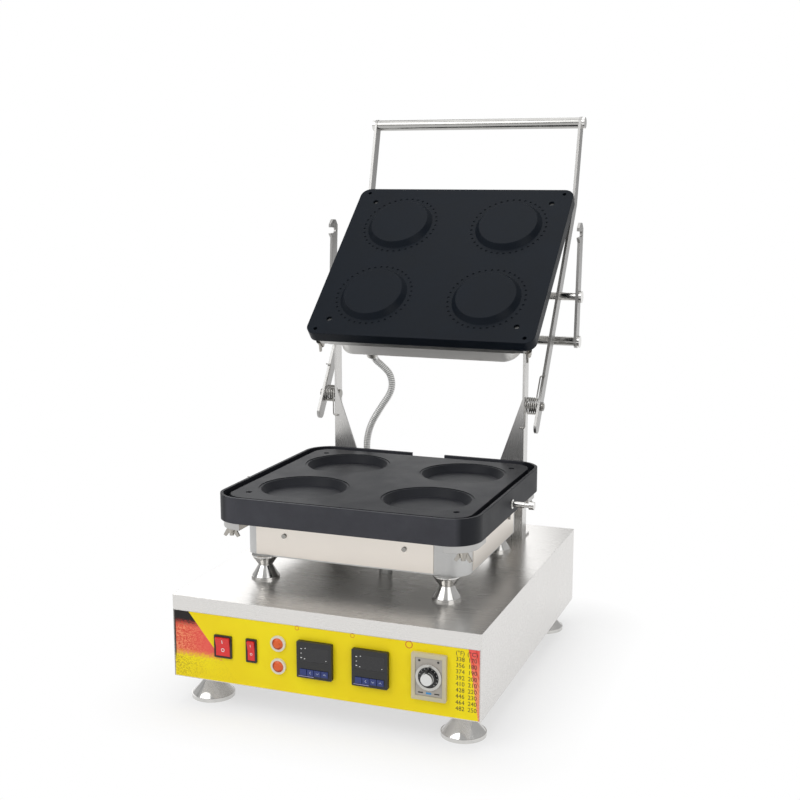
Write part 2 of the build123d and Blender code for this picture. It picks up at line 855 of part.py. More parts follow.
# Torsion springs
def biarc(start, start_dir, end, end_dir):
    """Two arcs that leave start along start_dir and reach end along end_dir."""
    v = end - start
    t = start_dir + end_dir
    a = 2 * (1 - start_dir.dot(end_dir))
    b = 2 * v.dot(t)
    c = -v.dot(v)
    if abs(a) < 1e-9:
        d = -c / b
    else:
        d = (-b + (b * b - 4 * a * c) ** 0.5) / (2 * a)
    first = start + start_dir * d
    last = end - end_dir * d
    middle = (first + last) * 0.5
    return [
        TangentArc(start, middle, tangent=start_dir),
        TangentArc(middle, end, tangent=last - first),
    ]


def spring_points():
    """Points and directions along the right spring's curls, less than a quarter turn apart."""
    start_x = upright_outer_x + spring_side_gap + spring_wire / 2
    arcs = 4 * spring_turns + 1
    whole_turn = 2 * pi * spring_turns + radians(90.0 - arm_rest_angle)
    points = []
    for arc in range(arcs + 1):
        turned = whole_turn * arc / arcs
        angle = pi - turned
        x = start_x + spring_pitch * turned / (2 * pi)
        across, up = spring_mean_radius * cos(angle), spring_mean_radius * sin(angle)
        place = Vector(x, hinge_y + across, hinge_z + up)
        rise = spring_pitch / (2 * pi * spring_mean_radius) if 0 < arc < arcs else 0.0
        direction = Vector(rise, sin(angle), -cos(angle)).normalized()
        points.append((place, direction))
    return points


def build_spring():
    """The right spring: a hook and leg on the upright, the curls, a leg and hook on the arm."""
    points = spring_points()
    first, first_dir = points[0]
    last, last_dir = points[-1]
    inward, outward = Vector(-1, 0, 0), Vector(1, 0, 0)
    low_corner = first - first_dir * spring_lower_leg
    high_corner = last + last_dir * spring_upper_leg
    bend = spring_leg_bend
    tip = low_corner + inward * (bend + spring_hook)
    edges = [
        Line(tip, low_corner + inward * bend),
        TangentArc(low_corner + inward * bend, low_corner + first_dir * bend, tangent=outward),
        Line(low_corner + first_dir * bend, first),
    ]
    for (a, ta), (b, tb) in zip(points, points[1:]):
        edges.extend(biarc(a, ta, b, tb))
    edges += [
        Line(last, high_corner - last_dir * bend),
        TangentArc(high_corner - last_dir * bend, high_corner + outward * bend, tangent=last_dir),
        Line(high_corner + outward * bend, high_corner + outward * (bend + spring_hook)),
    ]
    section = Plane(origin=tip, z_dir=outward) * Circle(spring_wire / 2)
    return sweep(section, path=Wire(edges))


def spring_gap():
    """The least gap between one curl of a spring and the next, on points."""
    samples = []
    per_turn = 48
    for step in range(spring_turns * per_turn + 1):
        turn = step / per_turn
        angle = 2 * pi * turn
        across, up = spring_mean_radius * cos(angle), spring_mean_radius * sin(angle)
        samples.append((spring_pitch * turn, across, up))
    least = 1e9
    for i, a in enumerate(samples):
        for b in samples[i + per_turn // 2:]:
            least = min(least, ((a[0] - b[0]) ** 2 + (a[1] - b[1]) ** 2 + (a[2] - b[2]) ** 2) ** 0.5)
    return least - spring_wire


# Upper head, laid out closed, face down
def peg(x, y):
    """One raised disc that presses the tart shell into its cavity."""
    return cone_z(x, y, closed_face_z - peg_height, closed_face_z, peg_top_radius, peg_foot_radius)


def build_upper_plate():
    top = closed_face_z + upper_thickness
    plate = rounded_slab(upper_width, upper_depth, upper_corner, closed_face_z, top, mould_centre_y)
    dimples = []
    for x, y in corners(cavity_x, cavity_y, mould_centre_y):
        plate += peg(x, y)
        for step in range(dimple_count):
            angle = 2 * pi * step / dimple_count
            dx, dy = dimple_ring_radius * cos(angle), dimple_ring_radius * sin(angle)
            floor = closed_face_z + dimple_depth
            dimples.append(rod_z(x + dx, y + dy, closed_face_z - over, floor, dimple_radius))
    plate -= dimples
    for x, y in corners(plate_screw_x, plate_screw_y, mould_centre_y):
        seat_z = closed_face_z + plate_screw_counterbore
        plate -= rod_z(x, y, closed_face_z - over, seat_z, plate_screw_radius)
    for x, y in corners(stud_x, stud_y, mould_centre_y):
        plate -= rod_z(x, y, closed_face_z - over, top + over, stud_radius)
    return on_head(plate)


def build_upper_plate_screws():
    screws = []
    for x, y in corners(plate_screw_x, plate_screw_y, mould_centre_y):
        low = closed_face_z + plate_screw_recess
        high = closed_face_z + plate_screw_counterbore
        screws.append(rod_z(x, y, low, high, plate_screw_radius - fit_gap))
    return on_head(group(screws))


def build_upper_heater_plate():
    ear_width = 2 * (arm_inner_x - upper_ear_gap + ear_inset)
    plate = heater_plate(
        ear_width, upper_depth, upper_corner, upper_heater_width, upper_heater_depth, upper_heater_low
    )
    return on_head(plate)


def build_upper_elements():
    z = upper_heater_high + element_radius + fit_gap
    return on_head(element_loop(z, mould_centre_y, element_spread, element_reach, element_rows))


def build_upper_cover():
    cover = rounded_slab(
        upper_cover_width, upper_cover_depth, upper_cover_corner,
        upper_heater_high, cover_high, mould_centre_y,
    )
    cover -= rounded_slab(
        upper_cover_width - 2 * upper_cover_wall, upper_cover_depth - 2 * upper_cover_wall,
        upper_cover_corner - upper_cover_wall,
        upper_heater_high - over, cover_high - upper_cover_wall, mould_centre_y,
    )
    bottom = cover_high - 2 * upper_cover_wall
    cover -= rod_z(head_gland_x, head_gland_y, bottom, cover_high + over, conduit_radius + fit_gap)
    return on_head(cover)


def build_head_lugs():
    lugs = []
    for side in sides:
        inner = side * (upper_cover_width / 2 + lug_gap)
        outer = inner + side * lug_thickness
        y = closed_pivot_y
        outline = [
            (y - lug_base_half, upper_heater_high), (y + lug_base_half, upper_heater_high),
            (y + lug_top_radius, closed_pivot_z), (y - lug_top_radius, closed_pivot_z),
        ]
        lug = prism_x(outline, inner, outer)
        lug += rod_x(inner, outer, y, closed_pivot_z, lug_top_radius)
        lug += slab(
            inner, outer + side * lug_foot_width, y - lug_base_half, y + lug_base_half,
            upper_heater_high, upper_heater_high + lug_foot_thickness,
        )
        lug -= rod_x(inner - side, outer + side, y, closed_pivot_z, head_pin_radius)
        lugs.append(lug)
    return on_head(group(lugs))


def build_head_pins():
    pins = []
    for side in sides:
        inner = side * (upper_cover_width / 2 + lug_gap)
        head = side * (latch_outer_x + face_gap)
        pin = rod_x(inner, head, closed_pivot_y, closed_pivot_z, head_pin_radius)
        pin += rod_x(head, head + side * pin_head_length, closed_pivot_y, closed_pivot_z, pin_head_radius)
        pins.append(pin)
    return on_head(group(pins))


def build_upper_wing_nuts():
    nuts = []
    for x, y in corners(stud_x, stud_y, mould_centre_y):
        hanging = wing_nut(x, y, upper_heater_high, 90.0)
        nut = Pos(0, 0, 2 * upper_heater_high) * mirror(hanging, about=Plane.XY)
        recess_z = closed_face_z + stud_recess
        nuts.append(nut - rod_z(x, y, closed_face_z - stud_seat, recess_z, 2 * stud_radius))
    return on_head(group(nuts))


# Latch
def build_latch_bar():
    """The right bar, drawn hooks up with the pivot at the origin, then tilted and placed."""
    x0, x1 = latch_inner_x, latch_outer_x
    top = latch_notch_reach + latch_above_notch
    half = latch_width / 2
    front = -(latch_head_width - half)
    low = latch_notch_reach - latch_notch_radius
    bar = bar_x((0, -latch_tube_reach), (0, 0), latch_width, x0, x1)
    shoulder = latch_notch_reach - latch_shoulder
    bar += slab(x0, x1, -half, half, 0, shoulder + latch_corner)
    outline = [
        (-half, shoulder), (half, shoulder), (half, top - latch_corner), (half - latch_corner, top),
        (front + latch_corner, top), (front, top - latch_corner),
        (front, low - latch_lip / 3), (-half, low - latch_lip),
    ]
    bar += prism_x(outline, x0, x1)
    bar -= rod_x(x0 - over, x1 + over, 0, latch_notch_reach, latch_notch_radius)
    mouth = [
        (0, latch_notch_reach - latch_notch_radius),
        (front - over, latch_notch_reach - latch_notch_radius - latch_mouth_slope),
        (front - over, latch_notch_reach + latch_notch_radius), (0, latch_notch_reach + latch_notch_radius),
    ]
    bar -= prism_x(mouth, x0 - over, x1 + over)
    bar -= rod_x(x0 - over, x1 + over, 0, 0, head_pin_radius + running_clearance)
    bar -= rod_x(x0 - over, x1 + over, 0, -latch_tube_reach, tube_screw_radius)
    return Pos(0, pivot_y, pivot_z) * Rot(-latch_rest_tilt, 0, 0) * bar


def build_latch_tube():
    tube = rod_x(-latch_inner_x, latch_inner_x, latch_tube_y, latch_tube_z, latch_tube_radius)
    end = latch_inner_x + over
    return tube - rod_x(-end, end, latch_tube_y, latch_tube_z, tube_screw_radius)


def build_latch_screws():
    screws = []
    for side in sides:
        face = side * latch_outer_x
        screw = rod_x(face, face + side * latch_cap_length, latch_tube_y, latch_tube_z, latch_cap_radius)
        inner = side * (latch_inner_x - tube_screw_depth)
        screws.append(screw + rod_x(inner, face, latch_tube_y, latch_tube_z, tube_screw_radius))
    return group(screws)


# Ribbed conduit: route points from the base gland up to the head's rear wall
def head_point(x, y, z):
    """A point of the closed head, as it lies on the open head."""
    turn = radians(-head_turn)
    dy, dz = y - closed_pivot_y, z - closed_pivot_z
    return (x, pivot_y + dy * cos(turn) - dz * sin(turn), pivot_z + dy * sin(turn) + dz * cos(turn))


def hose_rings(path):
    """Circles along a ribbed hose: plain ends, and four circles to each rib between them."""
    length = path.length
    ribs = int((length - 4 * conduit_radius) / conduit_pitch)
    lead = (length - ribs * conduit_pitch) / 2
    low = conduit_radius - conduit_groove
    stations = [(0.0, conduit_radius), (lead, conduit_radius)]
    for rib in range(ribs):
        start = lead + rib * conduit_pitch
        for share, radius in zip(conduit_rib_shares, (low, low, conduit_radius, conduit_radius)):
            stations.append((start + share * conduit_pitch, radius))
    stations.append((length, conduit_radius))
    rings = []
    for along, radius in stations:
        direction = path.tangent_at(along / length)
        steady = Vector(1, 0, 0) - direction * direction.dot(Vector(1, 0, 0))
        place = Plane(origin=path.position_at(along / length), x_dir=steady.normalized(), z_dir=direction)
        rings.append(place * Circle(radius))
    return rings


def run_radii(points):
    """Each arc of a route: a share of its shorter run over the tangent of half the turn."""
    radii = []
    for a, b, c in zip(points, points[1:], points[2:]):
        first = Vector(*b) - Vector(*a)
        second = Vector(*c) - Vector(*b)
        turn = radians(first.get_angle(second))
        radii.append(conduit_arc_share * min(first.length, second.length) / tan(turn / 2))
    return radii


def conduit_route():
    """The conduit's points, from the base gland up past the hinge to the head's gland."""
    return [
        (conduit_base_x, conduit_base_y, base_top + gland_height),
        (conduit_base_x, conduit_base_y, base_top + gland_height + conduit_rise),
        (-107.0, 189.0, 236.0),
        (-112.0, 187.0, 271.0),
        (-103.0, 183.0, 304.0),
        (-84.0, 181.0, 334.0),
        (-66.0, 184.0, 361.0),
        (-69.0, 187.0, 384.0),
        (-82.0, 185.0, 398.0),
        head_point(head_gland_x, head_gland_y, cover_high + gland_height + conduit_exit),
        head_point(head_gland_x, head_gland_y, cover_high + gland_height),
    ]


def build_conduits():
    """The hose's lower and upper stretch, which meet face to face at one rib's end."""
    points = conduit_route()
    radii = run_radii(points)
    path = FilletPolyline(*points, radius=radii)
    print("conduit arc radii", [round(radius, 1) for radius in radii], "length", round(path.length, 1))
    rings = hose_rings(path)
    ribs_below = int(conduit_split * (len(rings) - 3) / 4)
    meet = 2 + 4 * ribs_below
    start = Plane(origin=path.position_at(0), z_dir=path.tangent_at(0))
    bore = sweep(start * Circle(conduit_bore), path=path)
    return [loft(stretch, ruled=True) - bore for stretch in (rings[:meet], rings[meet - 1:])]


# Control panel pieces
def build_controller(x):
    z = controls_z
    half = controller_size / 2
    front = panel_front - film_thickness
    frame = Plane((x, front, z), x_dir=(1, 0, 0), z_dir=(0, -1, 0)) * RectangleRounded(
        controller_size, controller_size, control_corner
    )
    shape = extrude(frame, amount=controller_front, dir=(0, -1, 0))
    body_half = controller_body / 2
    shape += slab(
        x - body_half, x + body_half, front, panel_back + controller_body_depth, z - body_half, z + body_half
    )
    face = front - controller_front
    wz = z + window_rise
    shape -= slab(
        x - window_width / 2, x + window_width / 2, face - over, face + window_recess,
        wz - window_height / 2, wz + window_height / 2,
    )
    kz = z - key_drop
    for index in range(keys_on_each):
        kx = x + (index - (keys_on_each - 1) / 2) * (key_width + key_gap)
        shape -= slab(
            kx - key_width / 2 - fit_gap, kx + key_width / 2 + fit_gap,
            face - over, face + key_stem + key_travel + fit_gap,
            kz - key_height / 2 - fit_gap, kz + key_height / 2 + fit_gap,
        )
    return shape


def build_window(x):
    face = panel_front - film_thickness - controller_front
    wz = controls_z + window_rise
    return slab(
        x - window_width / 2, x + window_width / 2, face + window_set_back, face + window_recess,
        wz - window_height / 2, wz + window_height / 2,
    )


def build_key(x, index):
    face = panel_front - film_thickness - controller_front
    kx = x + (index - (keys_on_each - 1) / 2) * (key_width + key_gap)
    kz = controls_z - key_drop
    return slab(
        kx - key_width / 2, kx + key_width / 2, face - key_front, face + key_stem,
        kz - key_height / 2, kz + key_height / 2,
    )


def build_timer_body():
    z = controls_z
    front = panel_front - film_thickness
    plate = Plane((timer_x, front, z), x_dir=(1, 0, 0), z_dir=(0, -1, 0)) * RectangleRounded(
        timer_width, timer_height, control_corner
    )
    body = extrude(plate, amount=timer_front, dir=(0, -1, 0))
    half, tall = timer_face_width / 2, timer_face_height / 2
    outer, wall = front - 2 * timer_front, front - timer_wall
    body -= slab(timer_x - half, timer_x + half, outer, wall, z - tall, z + tall)
    body += slab(timer_x - half, timer_x + half, front, panel_back + timer_body_depth, z - tall, z + tall)
    bore = timer_shaft_radius + running_clearance
    return body - rod_y(timer_x, outer, front + timer_shaft_depth, z, bore)


def build_timer_face():
    z = controls_z
    front = panel_front - film_thickness
    half, tall = timer_face_width / 2 - running_clearance, timer_face_height / 2 - running_clearance
    face_front = front - timer_front + timer_wall
    face = slab(timer_x - half, timer_x + half, face_front, front - timer_wall, z - tall, z + tall)
    face += rod_y(timer_x, front - timer_front - timer_dial_front, face_front, z, timer_dial_radius)
    bore = timer_shaft_radius + running_clearance
    return face - rod_y(timer_x, front - 2 * timer_front, front + timer_shaft_depth, z, bore)


def build_timer_knob():
    z = controls_z
    back = panel_front - film_thickness - timer_front - timer_dial_front - face_gap
    skirt = back - knob_skirt_height
    knob = rod_y(timer_x, skirt, back, z, timer_knob_radius + knob_skirt_width)
    knob += rod_y(timer_x, back - timer_knob_height, skirt, z, timer_knob_radius)
    tip_z = z + timer_knob_radius + pointer_past_knob
    pointer = [
        (timer_x - pointer_root / 2, z), (timer_x + pointer_root / 2, z),
        (timer_x + pointer_tip / 2, tip_z), (timer_x - pointer_tip / 2, tip_z),
    ]
    knob += prism_y(pointer, back - timer_knob_height, skirt)
    shaft_end = panel_front - film_thickness + timer_shaft_depth - face_gap
    return knob + rod_y(timer_x, back, shaft_end, z, timer_shaft_radius)


def build_switch_frame(x, width, height):
    z = controls_z
    front = panel_front - film_thickness
    face = Plane((x, front, z), x_dir=(1, 0, 0), z_dir=(0, -1, 0))
    outline = face * RectangleRounded(width, height, switch_corner)
    frame = extrude(outline, amount=bezel_front, dir=(0, -1, 0))
    inset = switch_body_step + fit_gap
    half, tall = width / 2 - inset, height / 2 - inset
    frame += slab(x - half, x + half, front, panel_back + switch_body_depth, z - tall, z + tall)
    inner = width / 2 - bezel_rim
    swing = height / 2 - bezel_rim
    well = rod_x(x - inner, x + inner, rocker_axis_y(), z, swing)
    well += slab(x - inner, x + inner, front - 2 * bezel_front, rocker_axis_y(), z - swing, z + swing)
    return frame - well


def rocker_axis_y():
    """The depth of the rockers' pivots."""
    return panel_front - film_thickness - bezel_front + rocker_pivot_depth


def build_rocker(x, width, height):
    """A rocker whose two flat halves meet in a shallow V, at rest with its lower half pressed in."""
    half = width / 2 - bezel_rim - rocker_gap
    swing = height / 2 - bezel_rim - rocker_gap
    rise = swing * tan(radians(rocker_half_turn))
    outline = [
        (-rocker_pivot_depth, 0), (-rocker_pivot_depth - rise, swing), (rocker_back, swing),
        (rocker_back, -swing), (-rocker_pivot_depth - rise, -swing),
    ]
    paddle = prism_x(outline, x - half, x + half) & rod_x(x - half, x + half, 0, 0, swing)
    turned = Rot(rocker_half_turn, 0, 0) * paddle
    return Pos(0, rocker_axis_y(), controls_z) * turned


def build_pilot_bezels():
    front = panel_front - film_thickness
    bezels = []
    for z in (pilot_upper_z, pilot_lower_z):
        bezel = rod_y(pilot_x, front - pilot_front, front, z, pilot_radius)
        bezel += rod_y(pilot_x, front, panel_back + pilot_body_depth, z, pilot_lens_radius + fit_gap)
        outer, inner = front - pilot_front - over, front + 2 * pilot_front
        bezels.append(bezel - rod_y(pilot_x, outer, inner, z, pilot_lens_radius))
    return group(bezels)


def build_pilot_lenses():
    front = panel_front - film_thickness
    lenses = []
    for z in (pilot_upper_z, pilot_lower_z):
        lens = rod_y(pilot_x, front - pilot_front, front + 2 * pilot_front, z, pilot_lens_radius)
        height = pilot_lens_front - pilot_front
        dome = Pos(pilot_x, front - pilot_front - height / 2, z) * Rot(90, 0, 0) * Cone(
            pilot_lens_radius, pilot_dome_share * pilot_lens_radius, height
        )
        lenses.append(lens + dome)
    return group(lenses)


# Inside the base and its glands
def build_contactor():
    w, d, h = contactor_size
    x, y = contactor_place
    low = base_bottom + sheet
    return slab(x - w / 2, x + w / 2, y - d / 2, y + d / 2, low, low + h)


def build_terminal_strip():
    w, d, h = terminal_size
    x, y = terminal_place
    low = base_bottom + sheet
    strip = slab(x - w / 2, x + w / 2, y - d / 2, y + d / 2, low, low + h)
    for bay in range(terminal_bays):
        bx = x - w / 2 + (bay + 0.5) * w / terminal_bays
        strip -= rod_z(bx, y, low + h - terminal_bay_depth, low + h + over, terminal_bay_radius)
    return strip


def build_mains_gland():
    wall = base_rear - sheet - fit_gap
    x, z = mains_gland_x, mains_gland_z
    gland = rod_y(x, wall, wall + gland_height, z, gland_radius)
    gland += rod_y(x, wall - sheet, wall, z, gland_radius - gland_thread_step)
    gland += rod_y(x, wall - sheet - gland_nut_height, wall - sheet, z, gland_radius)
    bore = gland_radius - gland_wall
    return gland - rod_y(x, wall - 2 * gland_height, wall + gland_height + over, z, bore)


def build_base_gland():
    x, y = conduit_base_x, conduit_base_y
    gland = rod_z(x, y, base_top, base_top + gland_height, gland_radius)
    gland += rod_z(x, y, base_top - sheet - gland_nut_height, base_top, conduit_radius + fit_gap)
    return gland - rod_z(x, y, base_top - 2 * gland_height, base_top + gland_height + over, conduit_bore)


def build_head_gland():
    x, y = head_gland_x, head_gland_y
    gland = rod_z(x, y, cover_high, cover_high + gland_height, gland_radius)
    nut_low = cover_high - upper_cover_wall - gland_nut_height
    gland += rod_z(x, y, nut_low, cover_high, conduit_radius + fit_gap)
    top = cover_high + gland_height + over
    return on_head(gland - rod_z(x, y, cover_high - 2 * gland_height, top, conduit_bore))


# Every node
parts["base_cover"] = build_base_cover()
parts["base_pan"] = build_base_pan()
parts["front_panel"] = build_front_panel()
parts["panel_film"] = build_panel_film()
parts["feet"] = build_feet()
parts["foot_nuts"] = build_foot_nuts()
parts["posts"] = build_posts()
parts["lower_tray"] = build_lower_tray()
parts["lower_side_sheets"] = build_lower_sheets()
parts["lower_heater_plate"] = build_lower_heater_plate()
parts["lower_heating_element"] = build_lower_elements()
parts["lower_mould_block"] = build_lower_block()
parts["lower_wing_nuts"] = build_lower_wing_nuts()
parts["lock_pins"] = build_lock_pins()
parts["wire_duct"] = build_duct()
parts["uprights"] = group([build_upright(), mirrored(build_upright())])
machine_screws = [build_upright_screws(), build_lower_sheet_screws(), build_lower_plate_screws()]
parts["machine_screws"] = group(machine_screws)
parts["hinge_bolts"] = build_hinge_bolts()
parts["torsion_springs"] = group([build_spring(), mirrored(build_spring())])
parts["arm_right"] = build_arm()
parts["arm_left"] = mirrored(build_arm())
parts["handle_tube"] = build_handle_tube()
parts["handle_screws"] = build_handle_screws()
parts["upper_mould_plate"] = build_upper_plate()
parts["upper_plate_screws"] = build_upper_plate_screws()
parts["upper_heater_plate"] = build_upper_heater_plate()
parts["upper_heating_element"] = build_upper_elements()
parts["upper_cover"] = build_upper_cover()
parts["upper_wing_nuts"] = build_upper_wing_nuts()
parts["head_lugs"] = build_head_lugs()
parts["head_pivot_pins"] = build_head_pins()
parts["latch_bar_right"] = build_latch_bar()
parts["latch_bar_left"] = mirrored(build_latch_bar())
parts["latch_tube"] = build_latch_tube()
parts["latch_screws"] = build_latch_screws()
parts["base_conduit_gland"] = build_base_gland()
parts["head_conduit_gland"] = build_head_gland()
parts["mains_gland"] = build_mains_gland()
parts["contactor"] = build_contactor()
parts["terminal_strip"] = build_terminal_strip()
parts["switch_frames"] = group([build_switch_frame(*switch) for switch in switches()])
parts["power_rocker"] = build_rocker(power_x, power_width, power_height)
parts["second_rocker"] = build_rocker(second_x, second_width, second_height)
parts["pilot_bezels"] = build_pilot_bezels()
parts["pilot_lenses"] = build_pilot_lenses()
parts["timer_body"] = build_timer_body()
parts["timer_face"] = build_timer_face()
parts["timer_knob"] = build_timer_knob()

parts["conduit_lower"], parts["conduit_upper"] = build_conduits()
controllers = {"left": controller_left_x, "right": controller_right_x}
parts["temperature_controllers"] = group([build_controller(x) for x in controllers.values()])
parts["controller_windows"] = group([build_window(x) for x in controllers.values()])
for side_name, x in controllers.items():
    for index in range(keys_on_each):
        parts["key_" + side_name + "_" + str(index + 1)] = build_key(x, index)

boxes = [shape.bounding_box() for shape in parts.values()]
front_most = min(box.min.Y for box in boxes)
rear_most = max(box.max.Y for box in boxes)
shift_y = -(front_most + rear_most) / 2
for name, shape in parts.items():
    export_step(Pos(0, shift_y, 0) * shape, "parts/" + name + ".step")

print("nodes", len(parts))
print("front", round(front_most, 2), "rear", round(rear_most, 2), "moved along Y by", round(shift_y, 3))
print("arm hinge y, z", round(hinge_y + shift_y, 3), round(hinge_z, 3))
print("head pivot y, z", round(pivot_y + shift_y, 3), round(pivot_z, 3))
print("lid turn", round(lid_turn, 3), "tilt turn", round(tilt_turn, 3))
print("tilt to lid ratio", round(tilt_turn / lid_turn, 6))
print("rocker axis y", round(rocker_axis_y() + shift_y, 3), "z", controls_z)
print("spring least gap", round(spring_gap(), 3))
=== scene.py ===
"""Egg tart maker: the dressed model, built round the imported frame.

Metres, +Z up, front towards -Y. Each sub-assembly is a class that holds its
sizes as fields, builds its own surfaces with numpy and dresses them. The
frame's own pieces stay where they are and take their finishes here.
"""

import logging
from dataclasses import dataclass
from enum import Enum
from math import atan2, cos, pi, radians, tan
from typing import Iterable, Sequence

import bmesh
import bpy
import numpy as np
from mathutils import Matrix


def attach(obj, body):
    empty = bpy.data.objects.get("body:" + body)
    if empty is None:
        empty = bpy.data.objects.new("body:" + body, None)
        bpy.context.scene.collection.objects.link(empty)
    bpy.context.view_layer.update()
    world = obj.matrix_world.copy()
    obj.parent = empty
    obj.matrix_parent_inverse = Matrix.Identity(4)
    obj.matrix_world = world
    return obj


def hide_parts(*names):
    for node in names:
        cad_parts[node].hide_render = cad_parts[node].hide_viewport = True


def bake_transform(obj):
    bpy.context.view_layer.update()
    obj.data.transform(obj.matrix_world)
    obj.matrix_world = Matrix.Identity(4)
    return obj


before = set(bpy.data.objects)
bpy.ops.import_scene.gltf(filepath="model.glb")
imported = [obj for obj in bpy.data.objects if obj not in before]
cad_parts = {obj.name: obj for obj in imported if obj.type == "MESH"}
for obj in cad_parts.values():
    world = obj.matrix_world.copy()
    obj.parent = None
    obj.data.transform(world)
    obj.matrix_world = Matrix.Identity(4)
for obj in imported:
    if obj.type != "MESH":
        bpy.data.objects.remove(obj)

LOG = logging.getLogger("egg_tart_maker")
MM = 0.001
SHIFT_Y = -74.25
MOULD_Y = -17.0
NOISE_REACH = (0.3, 0.7)
TEXT_SIZE_TO_HEIGHT = 1.38
TEXT_HALF_THICKNESS = 0.04
TEXT_CURVE_STEPS = 3
ROUND_CORNERS = 20
EDGE_SAMPLES = 4
WHITE = (1.0, 1.0, 1.0)
BLACK = (0.0, 0.0, 0.0)

Colour = tuple[float, float, float]
Point = tuple[float, float, float]
Pair = tuple[float, float]
Number = float | np.ndarray
Socket = bpy.types.NodeSocket
Material = bpy.types.Material
Piece = bpy.types.Object


def machine(x: Number, y: Number, z: Number) -> tuple[Number, Number, Number]:
    """Points laid out in millimetres from the base's own centre, in the frame's metres."""
    return (x * MM, (y + SHIFT_Y) * MM, z * MM)


def shaded(colour: Colour, share: float) -> Colour:
    """A colour made darker or paler by a share."""
    return tuple(min(1.0, share * part) for part in colour)


class Body(Enum):
    """The moving bodies that new pieces ride on."""

    BASE = "base"
    LID = "lid_frame"
    HEAD = "head"
    POWER = "power_rocker"
    SECOND = "second_rocker"


class Axis(Enum):
    """An axis of the frame, by its column."""

    X = 0
    Y = 1
    Z = 2


# Materials


